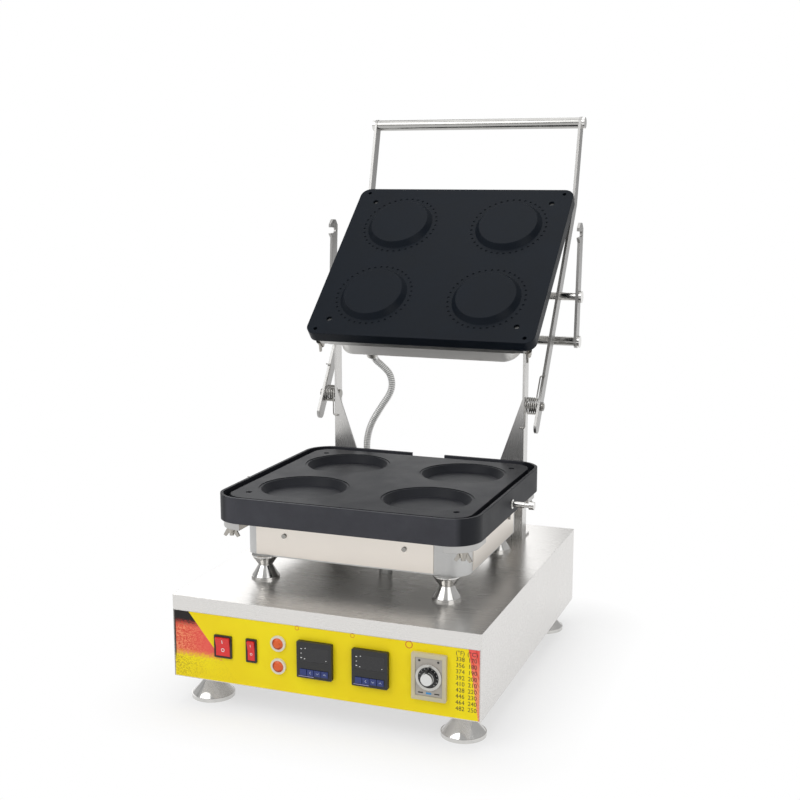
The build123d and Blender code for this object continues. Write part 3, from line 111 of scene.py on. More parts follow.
class Nodes:
    """A small writer of shader nodes in the tree of a material or a world."""

    def __init__(self, owner: Material | bpy.types.World) -> None:
        """Start on the owner's own tree.

        Args:
            owner: The material or world that the nodes belong to.
        """
        owner.use_nodes = True
        self.tree = owner.node_tree
        self.coords = self.add("ShaderNodeTexCoord")

    def add(self, kind: str, **settings: object) -> bpy.types.Node:
        """Add a node and set its properties.

        Args:
            kind: The node's type.
            **settings: Property names and values.

        Returns:
            The new node.
        """
        node = self.tree.nodes.new(kind)
        for name, value in settings.items():
            setattr(node, name, value)
        return node

    def link(self, out: Socket, into: Socket) -> None:
        """Join an output to an input."""
        self.tree.links.new(out, into)

    def put(self, socket: Socket, value: object) -> None:
        """Link a socket where the value is one, and set it otherwise.

        Args:
            socket: The input.
            value: A socket or a plain value.
        """
        if isinstance(value, Socket):
            self.link(value, socket)
        else:
            socket.default_value = value

    def mapped(self, scale: Point = (1.0, 1.0, 1.0)) -> Socket:
        """Object coordinates, scaled along each axis.

        Args:
            scale: The scale along X, Y and Z.

        Returns:
            The mapped vector.
        """
        mapping = self.add("ShaderNodeMapping")
        mapping.inputs["Scale"].default_value = scale
        self.link(self.coords.outputs["Object"], mapping.inputs["Vector"])
        return mapping.outputs["Vector"]

    def axes(self) -> list[Socket]:
        """The Object coordinates along X, Y and Z.

        Returns:
            The three sockets.
        """
        split = self.add("ShaderNodeSeparateXYZ")
        self.link(self.coords.outputs["Object"], split.inputs[0])
        return list(split.outputs)

    def length(self, a: Socket, b: Socket) -> Socket:
        """The length of the two legs a and b."""
        squares = (self.math("POWER", leg, 2.0) for leg in (a, b))
        return self.math("SQRT", self.math("ADD", *squares))

    def noise(self, scale: float, detail: float = 3.0, stretch: Point = (1.0, 1.0, 1.0),
              rough: float = 0.5) -> Socket:
        """A noise pattern on Object coordinates.

        Args:
            scale: Waves in a metre.
            detail: Octaves.
            stretch: Extra scale along each axis.
            rough: How strong the finer octaves are.

        Returns:
            The noise's value, about 0.5.
        """
        texture = self.add("ShaderNodeTexNoise")
        texture.inputs["Scale"].default_value = scale
        texture.inputs["Detail"].default_value = detail
        texture.inputs["Roughness"].default_value = rough
        self.link(self.mapped(stretch), texture.inputs["Vector"])
        return texture.outputs["Fac"]

    def math(self, operation: str, a: object, b: object = 0.0, clamp: bool = False) -> Socket:
        """One Math node.

        Args:
            operation: The node's operation.
            a: First value or socket.
            b: Second value or socket.
            clamp: Whether the result stays in 0 to 1.

        Returns:
            The result.
        """
        node = self.add("ShaderNodeMath", operation=operation, use_clamp=clamp)
        self.put(node.inputs[0], a)
        self.put(node.inputs[1], b)
        return node.outputs[0]

    def remap(self, value: object, low: float, high: float, to_low: float,
              to_high: float) -> Socket:
        """A value carried from one range to another, and held at its ends.

        Args:
            value: The value.
            low: Where the first range starts.
            high: Where the first range ends.
            to_low: Where the second range starts.
            to_high: Where the second range ends.

        Returns:
            The new value.
        """
        node = self.add("ShaderNodeMapRange")
        for socket, number in zip(node.inputs, (value, low, high, to_low, to_high)):
            self.put(socket, number)
        return node.outputs["Result"]

    def mix(self, share: object, first: object, second: object) -> Socket:
        """Two colours mixed by a share.

        Args:
            share: 0 for the first colour and 1 for the second.
            first: A colour or socket.
            second: A colour or socket.

        Returns:
            The mixed colour.
        """
        node = self.add("ShaderNodeMix", data_type="RGBA")
        self.put(node.inputs["Factor"], share)
        for socket, colour in ((node.inputs[6], first), (node.inputs[7], second)):
            self.put(socket, colour if isinstance(colour, Socket) else (*colour, 1.0))
        return node.outputs[2]

    def bump(self, height: object, strength: float, distance: float,
             under: Socket | None = None) -> Socket:
        """A bump from a height.

        Args:
            height: The height pattern.
            strength: How strongly it shows.
            distance: The pattern's depth in metres.
            under: A normal that it lies on.

        Returns:
            The new normal.
        """
        node = self.add("ShaderNodeBump")
        node.inputs["Strength"].default_value = strength
        node.inputs["Distance"].default_value = distance
        self.put(node.inputs["Height"], height)
        if under is not None:
            self.link(under, node.inputs["Normal"])
        return node.outputs["Normal"]

    def soft_edges(self, radius: float) -> Socket:
        """Normals rounded over that radius at sharp edges.

        Args:
            radius: The rounding in metres.

        Returns:
            The new normal.
        """
        node = self.add("ShaderNodeBevel", samples=EDGE_SAMPLES)
        node.inputs["Radius"].default_value = radius
        return node.outputs["Normal"]

    def level(self, noise: Socket, low: float, high: float) -> Socket:
        """A noise's usual reach carried to the range from low to high."""
        return self.remap(noise, *NOISE_REACH, low, high)

    def about(self, noise: Socket, middle: float, spread: Pair) -> Socket:
        """A noise carried to a middle value's surroundings, by how far they go down and up."""
        down, up = spread
        return self.level(noise, middle + down, middle + up)

    def mask(self, value: object, edges: Sequence[float]) -> Socket:
        """0 up to the first edge and 1 from the second on, both given in millimetres."""
        low, high = (edge * MM for edge in edges)
        return self.remap(value, low, high, 0.0, 1.0)

    def shaders(self, share: Socket, first: Socket, second: Socket, output: str) -> None:
        """Send two shaders, mixed by a share, to the tree's output of that name.

        Args:
            share: 0 for the first shader and 1 for the second.
            first: A shader.
            second: A shader.
            output: The name of the output node.
        """
        mixed = self.add("ShaderNodeMixShader")
        for socket, out in zip(mixed.inputs, (share, first, second)):
            self.link(out, socket)
        self.link(mixed.outputs[0], self.tree.nodes[output].inputs["Surface"])


class FinishNodes(Nodes):
    """The nodes of a new material, round one Principled shader."""

    def __init__(self, name: str) -> None:
        """Start a material of that name.

        Args:
            name: The material's name.
        """
        self.material = bpy.data.materials.new(name)
        super().__init__(self.material)
        self.shader = self.tree.nodes["Principled BSDF"]

    def surface(self, **sockets: object) -> None:
        """Set the Principled shader's sockets, underscores for spaces.

        Args:
            **sockets: The sockets' names, with a value or a socket for each.
        """
        for name, value in sockets.items():
            socket = self.shader.inputs[name.replace("_", " ")]
            if isinstance(value, tuple) and len(value) == 3 and socket.type == "RGBA":
                value = (*value, 1.0)
            self.put(socket, value)


@dataclass(frozen=True)
class BrushedSteel:
    """Stainless sheet with a fine grain along one axis.

    The grain is noise stretched along the grain axis. It sets the roughness, a
    slight change of tone and a shallow bump.
    """

    name: str
    colour: Colour = (0.60, 0.585, 0.56)
    grain: Axis = Axis.X
    roughness: float = 0.30
    spread: float = 0.10
    tone: float = 0.05
    metallic: float = 0.88
    edge: float = 0.5 * MM
    waves: Pair = (7.0, 900.0)
    streak_rough: float = 0.6
    cloud_scale: float = 9.0
    cloud_spread: Pair = (-0.015, 0.02)
    shades: Pair = (0.85, 1.15)
    bump: Pair = (0.04, 0.05 * MM)

    def make(self) -> Material:
        """Build the material.

        Returns:
            The finished material.
        """
        n = FinishNodes(self.name)
        along, across = self.waves
        fine = [across] * 3
        fine[self.grain.value] = along
        streaks = n.noise(1.0, 4.0, tuple(fine), self.streak_rough)
        clouds = n.noise(self.cloud_scale, 3.0)
        half = self.spread / 2
        rough = n.math("ADD", n.about(streaks, self.roughness, (-half, half)),
                       n.level(clouds, *self.cloud_spread))
        light = n.math("ADD", n.level(streaks, -self.tone, self.tone),
                       n.level(clouds, -self.tone / 2, self.tone / 2))
        share = n.math("ADD", 0.5, light)
        dark, pale = (shaded(self.colour, shade) for shade in self.shades)
        n.surface(Base_Color=n.mix(share, dark, pale), Metallic=self.metallic, Roughness=rough,
                  Normal=n.bump(streaks, *self.bump, n.soft_edges(self.edge)))
        return n.material


@dataclass(frozen=True)
class PolishedSteel:
    """Turned or polished steel with faint handling marks."""

    name: str
    colour: Colour = (0.74, 0.73, 0.71)
    roughness: float = 0.14
    edge: float = 0.4 * MM
    smear_scale: float = 60.0
    smear_noise: Pair = (0.35, 0.7)
    smear_spread: Pair = (-0.04, 0.06)
    scratch_scale: float = 2200.0
    scratch_stretch: Point = (1.0, 1.0, 0.06)
    scratch_noise: Pair = (0.4, 0.75)
    scratch_rough: float = 0.05
    shade: float = 0.86
    bump: Pair = (0.06, 0.03 * MM)

    def make(self) -> Material:
        """Build the material.

        Returns:
            The finished material.
        """
        n = FinishNodes(self.name)
        smears = n.noise(self.smear_scale, 5.0)
        scratches = n.noise(self.scratch_scale, 2.0, self.scratch_stretch)
        low, high = (self.roughness + change for change in self.smear_spread)
        rough = n.math("ADD", n.remap(smears, *self.smear_noise, low, high),
                       n.remap(scratches, *self.scratch_noise, 0.0, self.scratch_rough))
        dark = shaded(self.colour, self.shade)
        n.surface(Base_Color=n.mix(n.level(smears, 0.0, 1.0), dark, self.colour), Metallic=1.0,
                  Roughness=rough, Normal=n.bump(scratches, *self.bump, n.soft_edges(self.edge)))
        return n.material


@dataclass(frozen=True)
class CastMetal:
    """Cast or blasted metal with a fine grain and a mottled tone."""

    name: str
    colour: Colour
    roughness: float
    metallic: float = 1.0
    grain: float = 1400.0
    depth: float = 0.12 * MM
    mottle: float = 0.10
    specular: float = 0.5
    edge: float = 0.8 * MM
    # Painted light: a paler colour on the walls in front and behind, from the half depth along Y,
    # faded over a short width.
    painted_wall_light_and_film_grain: Colour | None = None
    painted_light_half: float = 0.0
    painted_light_fade: float = 4.0 * MM
    grain_rough: float = 0.65
    grain_noise: Pair = (0.35, 0.7)
    grain_spread: Pair = (-0.05, 0.05)
    cloud_scale: float = 22.0
    cloud_rough: float = 0.6
    cloud_share: float = 0.7
    cloud_spread: Pair = (-0.03, 0.05)
    strength: float = 0.35

    def tone(self, n: Nodes, share: Socket) -> Socket:
        """The mottled colour, with painted light: a paler colour on the walls in front and behind.

        Args:
            n: The material's nodes.
            share: The mottle, 0 to 1.

        Returns:
            The colour.
        """
        # Painted light: the walls in front and behind take the paler colour, and the cavity walls keep
        # the darker one.
        inner, outer = (n.mix(share, shaded(colour, 1 - self.mottle), shaded(colour, 1 + self.mottle))
                        for colour in (self.colour, self.painted_wall_light_and_film_grain or self.colour))
        if self.painted_wall_light_and_film_grain is None:
            return inner
        away = n.math("ABSOLUTE", n.math("SUBTRACT", n.axes()[1], machine(0.0, MOULD_Y, 0.0)[1]))
        past = n.remap(away, self.painted_light_half, self.painted_light_half + self.painted_light_fade, 0.0, 1.0)
        return n.mix(past, inner, outer)

    def make(self) -> Material:
        """Build the material.

        Returns:
            The finished material.
        """
        n = FinishNodes(self.name)
        grain = n.noise(self.grain, 4.0, rough=self.grain_rough)
        clouds = n.noise(self.cloud_scale, 5.0, rough=self.cloud_rough)
        share = n.math("ADD", n.level(clouds, 0.0, self.cloud_share),
                       n.remap(grain, *self.grain_noise, 0.0, 1.0 - self.cloud_share))
        rough = n.math("ADD", n.about(grain, self.roughness, self.grain_spread),
                       n.level(clouds, *self.cloud_spread))
        n.surface(Base_Color=self.tone(n, share), Metallic=self.metallic, Roughness=rough,
                  Specular_IOR_Level=self.specular,
                  Normal=n.bump(grain, self.strength, self.depth, n.soft_edges(self.edge)))
        return n.material


@dataclass(frozen=True)
class MouldedPlastic:
    """Moulded plastic with a fine spark-eroded grain."""

    name: str
    colour: Colour
    roughness: float = 0.38
    grain: float = 2600.0
    depth: float = 0.04 * MM
    glow: float = 0.0
    coat: float = 0.0
    edge: float = 0.4 * MM
    grain_spread: Pair = (-0.05, 0.05)
    cloud_scale: float = 45.0
    cloud_spread: Pair = (-0.02, 0.03)
    shade: float = 0.9
    coat_roughness: float = 0.08
    strength: float = 0.25

    def make(self) -> Material:
        """Build the material.

        Returns:
            The finished material.
        """
        n = FinishNodes(self.name)
        grain = n.noise(self.grain, 2.0)
        clouds = n.noise(self.cloud_scale, 3.0)
        dark = shaded(self.colour, self.shade)
        rough = n.math("ADD", n.about(grain, self.roughness, self.grain_spread),
                       n.level(clouds, *self.cloud_spread))
        n.surface(Base_Color=n.mix(n.level(clouds, 0.0, 1.0), dark, self.colour),
                  Roughness=rough, Coat_Weight=self.coat, Coat_Roughness=self.coat_roughness,
                  Normal=n.bump(grain, self.strength, self.depth, n.soft_edges(self.edge)))
        if self.glow:
            n.surface(Emission_Color=self.colour, Emission_Strength=self.glow)
        return n.material


@dataclass(frozen=True)
class PrintInk:
    """Flat printed ink with the film's own fine texture."""

    name: str
    colour: Colour
    roughness: float = 0.42
    grain: float = 900.0
    grain_spread: Pair = (-0.04, 0.04)
    shade: float = 0.92

    def make(self) -> Material:
        """Build the material.

        Returns:
            The finished material.
        """
        n = FinishNodes(self.name)
        grain = n.noise(self.grain, 2.0)
        dark = shaded(self.colour, self.shade)
        n.surface(Base_Color=n.mix(n.level(grain, 0.0, 1.0), dark, self.colour),
                  Roughness=n.about(grain, self.roughness, self.grain_spread))
        return n.material


@dataclass(frozen=True)
class PanelPrint:
    """The control panel's printed film.

    Yellow, with a corner to the left of a slanting edge that runs from black
    through speckled red to speckled yellow, and a red wedge along the right
    edge with thin rays in it. Each edge is a straight line through two points
    of the panel's face, and its mask is the distance from that line, sharpened.
    """

    name: str
    yellow: Colour = (0.93, 0.76, 0.006)
    deep_yellow: Colour = (0.90, 0.70, 0.005)
    red: Colour = (0.70, 0.045, 0.030)
    pink: Colour = (0.87, 0.115, 0.10)
    orange: Colour = (0.95, 0.36, 0.18)
    brown: Colour = (0.30, 0.15, 0.01)
    black: Colour = (0.016, 0.013, 0.013)
    left_top: Pair = (-188.0, 129.0)
    left_low: Pair = (-155.0, 88.0)
    black_heights: Pair = (110.0, 117.0)
    red_heights: Pair = (67.0, 76.0)
    dark_rim: float = -207.6
    rim_soft: float = 0.4
    rim_heights: Pair = (60.0, 72.0)
    fade_scale: float = 18.0
    fade_noise: Pair = (0.35, 0.65)
    grain_scale: float = 720.0
    ragged: float = 4.0
    ragged_noise: Pair = (0.35, 0.65)
    fleck_noise: Pair = (0.48, 0.55)
    grit_noise: Pair = (0.51, 0.57)
    speckled: Pair = (-206.0, -160.0)
    edge_soft: Pair = (0.35, 0.3)
    right_top: Pair = (195.5, 129.0)
    right_low: Pair = (208.0, 40.0)
    ray_source: Pair = (222.0, 60.0)
    rays: float = 46.0
    ray_waves: Pair = (0.55, 0.85)
    heat_heights: Pair = (70.0, 125.0)
    skin_scales: Pair = (900.0, 700.0)
    roughness: Pair = (0.40, 0.50)
    specular: float = 0.25
    bump: Pair = (0.08, 0.03 * MM)

    def side(self, n: Nodes, x: object, z: object, a: Pair, b: Pair,
             soft: float) -> Socket:
        """A mask of what lies left of the line from a to b, looking at the panel.

        Args:
            n: The material's nodes.
            x: The place along X in metres.
            z: The height in metres.
            a: The line's upper point in millimetres.
            b: The line's lower point in millimetres.
            soft: The edge's width in millimetres.

        Returns:
            1 on the left of the line and 0 on the right.
        """
        slope = (b[0] - a[0]) / (b[1] - a[1])
        edge = n.math("ADD", n.math("MULTIPLY", n.math("SUBTRACT", z, a[1] * MM), slope), a[0] * MM)
        return n.mask(n.math("SUBTRACT", edge, x), (-soft, soft))

    def corner(self, n: Nodes, x: object, z: object, ground: Socket) -> Socket:
        """The left corner's colours from its top to its foot.

        Args:
            n: The material's nodes.
            x: The place along X in metres.
            z: The height in metres.
            ground: The yellow that it fades into.

        Returns:
            The corner's colour.
        """
        grains = n.noise(self.grain_scale, 3.0, rough=0.75)
        reach = self.ragged * MM
        ragged = n.math("ADD", z, n.remap(grains, *self.ragged_noise, -reach, reach))
        far, near = (place * MM for place in self.speckled)
        leftness = n.remap(x, far, near, 1.0, 0.15)
        flecks = n.math("MULTIPLY", n.remap(grains, *self.fleck_noise, 0.0, 1.0), leftness)
        ember = n.mix(flecks, n.mix(leftness, self.pink, self.red), self.orange)
        grit = n.math("MULTIPLY", n.remap(grains, *self.grit_noise, 0.0, 0.8), leftness)
        sand = n.mix(grit, ground, self.brown)
        lower = n.mix(n.mask(ragged, self.red_heights), sand, ember)
        whole = n.mix(n.mask(ragged, self.black_heights), lower, self.black)
        left, right = ((self.dark_rim + side * self.rim_soft) * MM for side in (-1, 1))
        beside = n.remap(x, left, right, 1.0, 0.0)
        rim = n.math("MULTIPLY", beside, n.mask(z, self.rim_heights))
        return n.mix(rim, whole, self.black)

    def wedge(self, n: Nodes, x: object, z: object) -> Socket:
        """The right wedge's colours: orange-red, with rays from a point beyond the edge.

        Args:
            n: The material's nodes.
            x: The place along X in metres.
            z: The height in metres.

        Returns:
            The wedge's colour.
        """
        across = n.math("SUBTRACT", x, self.ray_source[0] * MM)
        up = n.math("SUBTRACT", z, self.ray_source[1] * MM)
        turn = n.math("ARCTAN2", up, across)
        wave = n.math("SINE", n.math("MULTIPLY", turn, self.rays))
        rays = n.remap(wave, *self.ray_waves, 0.0, 0.7)
        heat = n.mix(n.mask(z, self.heat_heights), self.orange, self.pink)
        return n.mix(rays, heat, self.red)

    def make(self) -> Material:
        """Build the material.

        Returns:
            The finished material.
        """
        n = FinishNodes(self.name)
        x, _, z = n.axes()
        fade = n.noise(self.fade_scale, 2.0)
        ground = n.mix(n.remap(fade, *self.fade_noise, 0.0, 1.0), self.yellow, self.deep_yellow)
        left = self.side(n, x, z, self.left_top, self.left_low, self.edge_soft[0])
        within = self.side(n, x, z, self.right_top, self.right_low, self.edge_soft[1])
        right = n.math("SUBTRACT", 1.0, within)
        colour = n.mix(right, n.mix(left, ground, self.corner(n, x, z, ground)), self.wedge(n, x, z))
        gloss, painted_wall_light_and_film_grain = (n.noise(scale, 2.0) for scale in self.skin_scales)
        n.surface(Base_Color=colour, Roughness=n.level(gloss, *self.roughness),
                  Specular_IOR_Level=self.specular, Normal=n.bump(painted_wall_light_and_film_grain, *self.bump))
        return n.material


@dataclass(frozen=True)
class KnobFinish:
    """The timer's knob: a silver cap on a black skirt, told apart by the distance from its axis."""

    name: str
    axis: Pair = (146.1, 88.0)
    cap_radius: float = 8.0
    seam: float = 0.1
    grain: float = 1800.0
    roughness: Pair = (0.26, 0.36)
    bump: Pair = (0.15, 0.04 * MM)
    edge: float = 0.4 * MM
    silver: Colour = (0.70, 0.70, 0.69)
    black: Colour = (0.016, 0.016, 0.017)

    def make(self) -> Material:
        """Build the material.

        Returns:
            The finished material.
        """
        n = FinishNodes(self.name)
        x, _, z = n.axes()
        across = n.math("SUBTRACT", x, self.axis[0] * MM)
        up = n.math("SUBTRACT", z, self.axis[1] * MM)
        seam = [self.cap_radius + side * self.seam for side in (-1, 1)]
        skirt = n.mask(n.length(across, up), seam)
        grain = n.noise(self.grain, 3.0)
        n.surface(Base_Color=n.mix(skirt, self.silver, self.black),
                  Metallic=n.math("SUBTRACT", 1.0, skirt),
                  Roughness=n.level(grain, *self.roughness),
                  Normal=n.bump(grain, *self.bump, n.soft_edges(self.edge)))
        return n.material


@dataclass(frozen=True)
class LensPlastic:
    """A tinted lamp lens: orange where it faces the eye, deep red where it turns away."""

    name: str
    middle: Colour = (0.68, 0.115, 0.025)
    rim: Colour = (0.28, 0.010, 0.005)
    glow: float = 0.10
    facet_scale: float = 520.0
    facet_noise: Pair = (0.35, 0.65)
    facet_turn: float = 0.15
    turned: Pair = (0.2, 0.6)
    roughness: Pair = (0.16, 0.26)
    specular: float = 0.3
    edge: float = 1.2 * MM

    def make(self) -> Material:
        """Build the material.

        Returns:
            The finished material.
        """
        n = FinishNodes(self.name)
        facing = n.add("ShaderNodeLayerWeight")
        facing.inputs["Blend"].default_value = 0.5
        facets = n.noise(self.facet_scale, 2.0)
        tilt = n.remap(facets, *self.facet_noise, -self.facet_turn, self.facet_turn)
        turned = n.math("ADD", facing.outputs["Facing"], tilt)
        colour = n.mix(n.remap(turned, *self.turned, 0.0, 1.0), self.middle, self.rim)
        n.surface(Base_Color=colour, Roughness=n.level(facets, *self.roughness),
                  Specular_IOR_Level=self.specular, Emission_Color=colour,
                  Emission_Strength=self.glow, Normal=n.soft_edges(self.edge))
        return n.material


@dataclass(frozen=True)
class RibbedHose:
    """Grey metal hose, with painted shade in its grooves, set by the piece's own rib attribute."""

    name: str
    colour: Colour = (0.90, 0.90, 0.885)
    # The grooves' darker colour is painted shade.
    groove: Colour = (0.42, 0.42, 0.41)
    grain: float = 1200.0
    metallic: float = 0.65
    roughness: Pair = (0.28, 0.40)
    bump: Pair = (0.2, 0.05 * MM)

    def make(self) -> Material:
        """Build the material.

        Returns:
            The finished material.
        """
        n = FinishNodes(self.name)
        rib = n.add("ShaderNodeAttribute", attribute_name="rib")
        grain = n.noise(self.grain, 3.0)
        # Painted shade: the grooves take the darker colour where the rib attribute falls to 0.
        n.surface(Base_Color=n.mix(rib.outputs["Fac"], self.groove, self.colour),
                  Metallic=self.metallic, Roughness=n.level(grain, *self.roughness),
                  Normal=n.bump(grain, *self.bump))
        return n.material


def finishes() -> dict[str, Material]:
    """Every finish of the machine, by its name.

    Returns:
        The materials.
    """
    made = (
        BrushedSteel("cover_steel", (0.73, 0.715, 0.695), Axis.X, 0.27, 0.03, 0.01),
        BrushedSteel("side_sheet_steel", (0.82, 0.765, 0.70), Axis.X, 0.30, 0.03, 0.01),
        BrushedSteel("upright_steel", (0.65, 0.64, 0.625), Axis.Z, 0.28, 0.03, 0.01),
        # The arms are a darker copy of the same stainless: painted shade that tones down their
        # highlights.
        BrushedSteel("arm_steel_painted_shade", (0.40, 0.395, 0.385), Axis.Z, 0.32, 0.08, 0.04),
        # The head cover is a paler copy of the same stainless: painted light for its underside, which
        # faces down.
        BrushedSteel("head_cover_steel_painted_light", (0.84, 0.83, 0.81), Axis.X, 0.34, 0.06, 0.02, 0.6),
        PolishedSteel("polished_steel", (0.76, 0.75, 0.73), 0.12),
        PolishedSteel("tube_steel", (0.47, 0.465, 0.45), 0.16),
        PolishedSteel("screw_steel", (0.36, 0.35, 0.33), 0.24),
        PolishedSteel("wing_nut_steel", (0.44, 0.42, 0.385), 0.26),
        PolishedSteel("spring_steel", (0.42, 0.41, 0.39), 0.16),
        PolishedSteel("nickel", (0.58, 0.57, 0.54), 0.26),
        CastMetal("tray_aluminium", (0.60, 0.60, 0.595), 0.46, 1.0, 900.0, 0.2 * MM),
        CastMetal("heater_aluminium", (0.50, 0.495, 0.485), 0.34, 1.0, 1500.0, 0.08 * MM),
        # The block's walls in front and behind take a paler colour than its cavities: painted light.
        CastMetal("coated_casting", (0.012, 0.013, 0.017), 0.48, 0.0, 1100.0, 0.10 * MM, 0.2, 0.17,
                  1.4 * MM, (0.050, 0.051, 0.060), 0.166),
        CastMetal("coated_plate", (0.005, 0.008, 0.013), 0.34, 0.0, 1500.0, 0.05 * MM, 0.2, 0.10,
                  1.2 * MM),
        CastMetal("dark_steel", (0.10, 0.10, 0.10), 0.40, 1.0),
        CastMetal("duct_steel", (0.50, 0.50, 0.49), 0.34, 1.0),
        MouldedPlastic("black_plastic", (0.016, 0.016, 0.017), 0.40),
        MouldedPlastic("switch_black", (0.022, 0.015, 0.013), 0.42),
        MouldedPlastic("key_blue", (0.022, 0.040, 0.185), 0.42),
        MouldedPlastic("beige_plastic", (0.60, 0.54, 0.36), 0.42),
        MouldedPlastic("timer_silver", (0.44, 0.41, 0.37), 0.40),
        MouldedPlastic("rocker_red", (0.72, 0.024, 0.024), 0.36, 2600.0, 0.02 * MM, 0.06, 0.0),
        MouldedPlastic("white_plastic", (0.78, 0.74, 0.62), 0.34),
        MouldedPlastic("window_dark", (0.010, 0.010, 0.012), 0.22, 2600.0, 0.01 * MM, 0.0, 0.2),
        MouldedPlastic("terminal_plastic", (0.55, 0.53, 0.48), 0.40),
        PrintInk("white_ink", (0.80, 0.80, 0.80)),
        PrintInk("black_ink", (0.014, 0.011, 0.008)),
        PrintInk("red_ink", (0.62, 0.03, 0.02)),
        PrintInk("violet_ink", (0.42, 0.40, 0.72)),
        PrintInk("pale_ink", (0.55, 0.62, 0.80)),
        PrintInk("blue_ink", (0.05, 0.28, 0.60)),
        PanelPrint("panel_print"),
        KnobFinish("knob"),
        RibbedHose("hose_grey"),
        LensPlastic("lens_orange"),
    )
    return {finish.name: finish.make() for finish in made}


# Shapes


def placed(name: str, data: bpy.types.ID) -> Piece:
    """A new object with that data, at the origin and in the scene.

    Args:
        name: The object's name.
        data: Its mesh, curve, camera or lamp.

    Returns:
        The object.
    """
    thing = bpy.data.objects.new(name, data)
    bpy.context.scene.collection.objects.link(thing)
    return thing


def curve_mesh(curve: bpy.types.Curve) -> bpy.types.Mesh:
    """The mesh that a curve makes.

    Args:
        curve: A curve or text, which isn't in the scene yet.

    Returns:
        The mesh.
    """
    holder = placed(curve.name, curve)
    bpy.context.view_layer.update()
    mesh = bpy.data.meshes.new_from_object(holder.evaluated_get(bpy.context.evaluated_depsgraph_get()))
    bpy.data.objects.remove(holder)
    return mesh


def mesh_points(mesh: bpy.types.Mesh) -> np.ndarray:
    """A mesh's vertices, n by three.

    Args:
        mesh: The mesh.

    Returns:
        The vertices in metres.
    """
    flat = np.zeros(len(mesh.vertices) * 3)
    mesh.vertices.foreach_get("co", flat)
    return flat.reshape(-1, 3)


def mesh_piece(name: str, points: np.ndarray, faces: Iterable[Sequence[int]],
               material: Material, smooth: bool = True) -> Piece:
    """A new object at the origin from points and faces.

    Args:
        name: The piece's name.
        points: Its vertices, in metres.
        faces: Its faces, by vertex numbers.
        material: Its finish.
        smooth: Whether its faces are smooth shaded.

    Returns:
        The object, in the scene.
    """
    mesh = bpy.data.meshes.new(name)
    places = np.asarray(points, float).reshape(-1, 3).tolist()
    mesh.from_pydata(places, [], [list(map(int, face)) for face in faces])
    mesh.polygons.foreach_set("use_smooth", [smooth] * len(mesh.polygons))
    mesh.materials.append(material)
    mesh.update()
    return placed(name, mesh)


def grid_faces(rows: int, columns: int, wrap: bool = True) -> np.ndarray:
    """Quads over a grid whose columns go round.

    Args:
        rows: Rings of points.
        columns: Points in a ring.
        wrap: Whether the last column joins the first.

    Returns:
        An array of four vertex numbers for each face.
    """
    last = columns if wrap else columns - 1
    row, column = np.meshgrid(np.arange(rows - 1), np.arange(last), indexing="ij")
    ahead = (column + 1) % columns
    low, high = row * columns, (row + 1) * columns
    return np.stack([low + column, low + ahead, high + ahead, high + column], -1).reshape(-1, 4)


def closed_tube(rings: np.ndarray) -> tuple[np.ndarray, list[list[int]]]:
    """A skin over rings of points, closed by one flat cap at each end.

    Args:
        rings: An array of rings by points by three, each ring counter-clockwise about the way ahead.

    Returns:
        The vertices and the faces.
    """
    count, sides = rings.shape[:2]
    faces = grid_faces(count, sides).tolist()
    faces.append(list(range(sides))[::-1])
    faces.append(list(range((count - 1) * sides, count * sides)))
    return rings.reshape(-1, 3), faces


def path_frames(path: np.ndarray) -> tuple[np.ndarray, np.ndarray, np.ndarray]:
    """Directions along a path and two steady directions across it.

    The way ahead is the central difference of the points. The first across is
    the world axis least in line with the whole path, less its share along the
    way ahead, and the second is their cross product.

    Args:
        path: The points, an array of n by three.

    Returns:
        The way ahead and the two ways across, each n by three.
    """
    ahead = np.gradient(path, axis=0)
    ahead /= np.linalg.norm(ahead, axis=1, keepdims=True)
    steady = np.eye(3)[np.argmin(np.abs(ahead).max(axis=0))]
    across = steady - ahead * (ahead @ steady)[:, None]
    across /= np.linalg.norm(across, axis=1, keepdims=True)
    return ahead, across, np.cross(ahead, across)


def swept(path: np.ndarray, radii: np.ndarray, sides: int,
          across: np.ndarray | None = None) -> np.ndarray:
    """Rings along a path.

    Each ring's point is its path point plus the radius times the cosine and
    sine of the angle along the two ways across.

    Args:
        path: The points, n by three.
        radii: The tube's radius at each point.
        sides: Points in each ring.
        across: A way across for each point, where the path's own won't do.

    Returns:
        The rings, n by sides by three.
    """
    ahead, steady, up = path_frames(path)
    if across is None:
        across = steady
    else:
        up = np.cross(ahead, across)
    angle = np.linspace(0, 2 * pi, sides, endpoint=False)
    turn = np.stack([np.cos(angle), np.sin(angle)])[:, None, :, None]
    circle = turn[0] * across[:, None, :] + turn[1] * up[:, None, :]
    return path[:, None, :] + radii[:, None, None] * circle


def resampled(path: np.ndarray, along: np.ndarray) -> np.ndarray:
    """Points of a path at given distances from its start.

    Args:
        path: The points, n by three.
        along: The distances, in metres.

    Returns:
        One point for each distance.
    """
    steps = np.linalg.norm(np.diff(path, axis=0), axis=1)
    reach = np.concatenate([[0.0], np.cumsum(steps)])
    return np.stack([np.interp(along, reach, path[:, k]) for k in range(3)], -1)


def path_length(path: np.ndarray) -> float:
    """The length of a path in metres."""
    return float(np.linalg.norm(np.diff(path, axis=0), axis=1).sum())


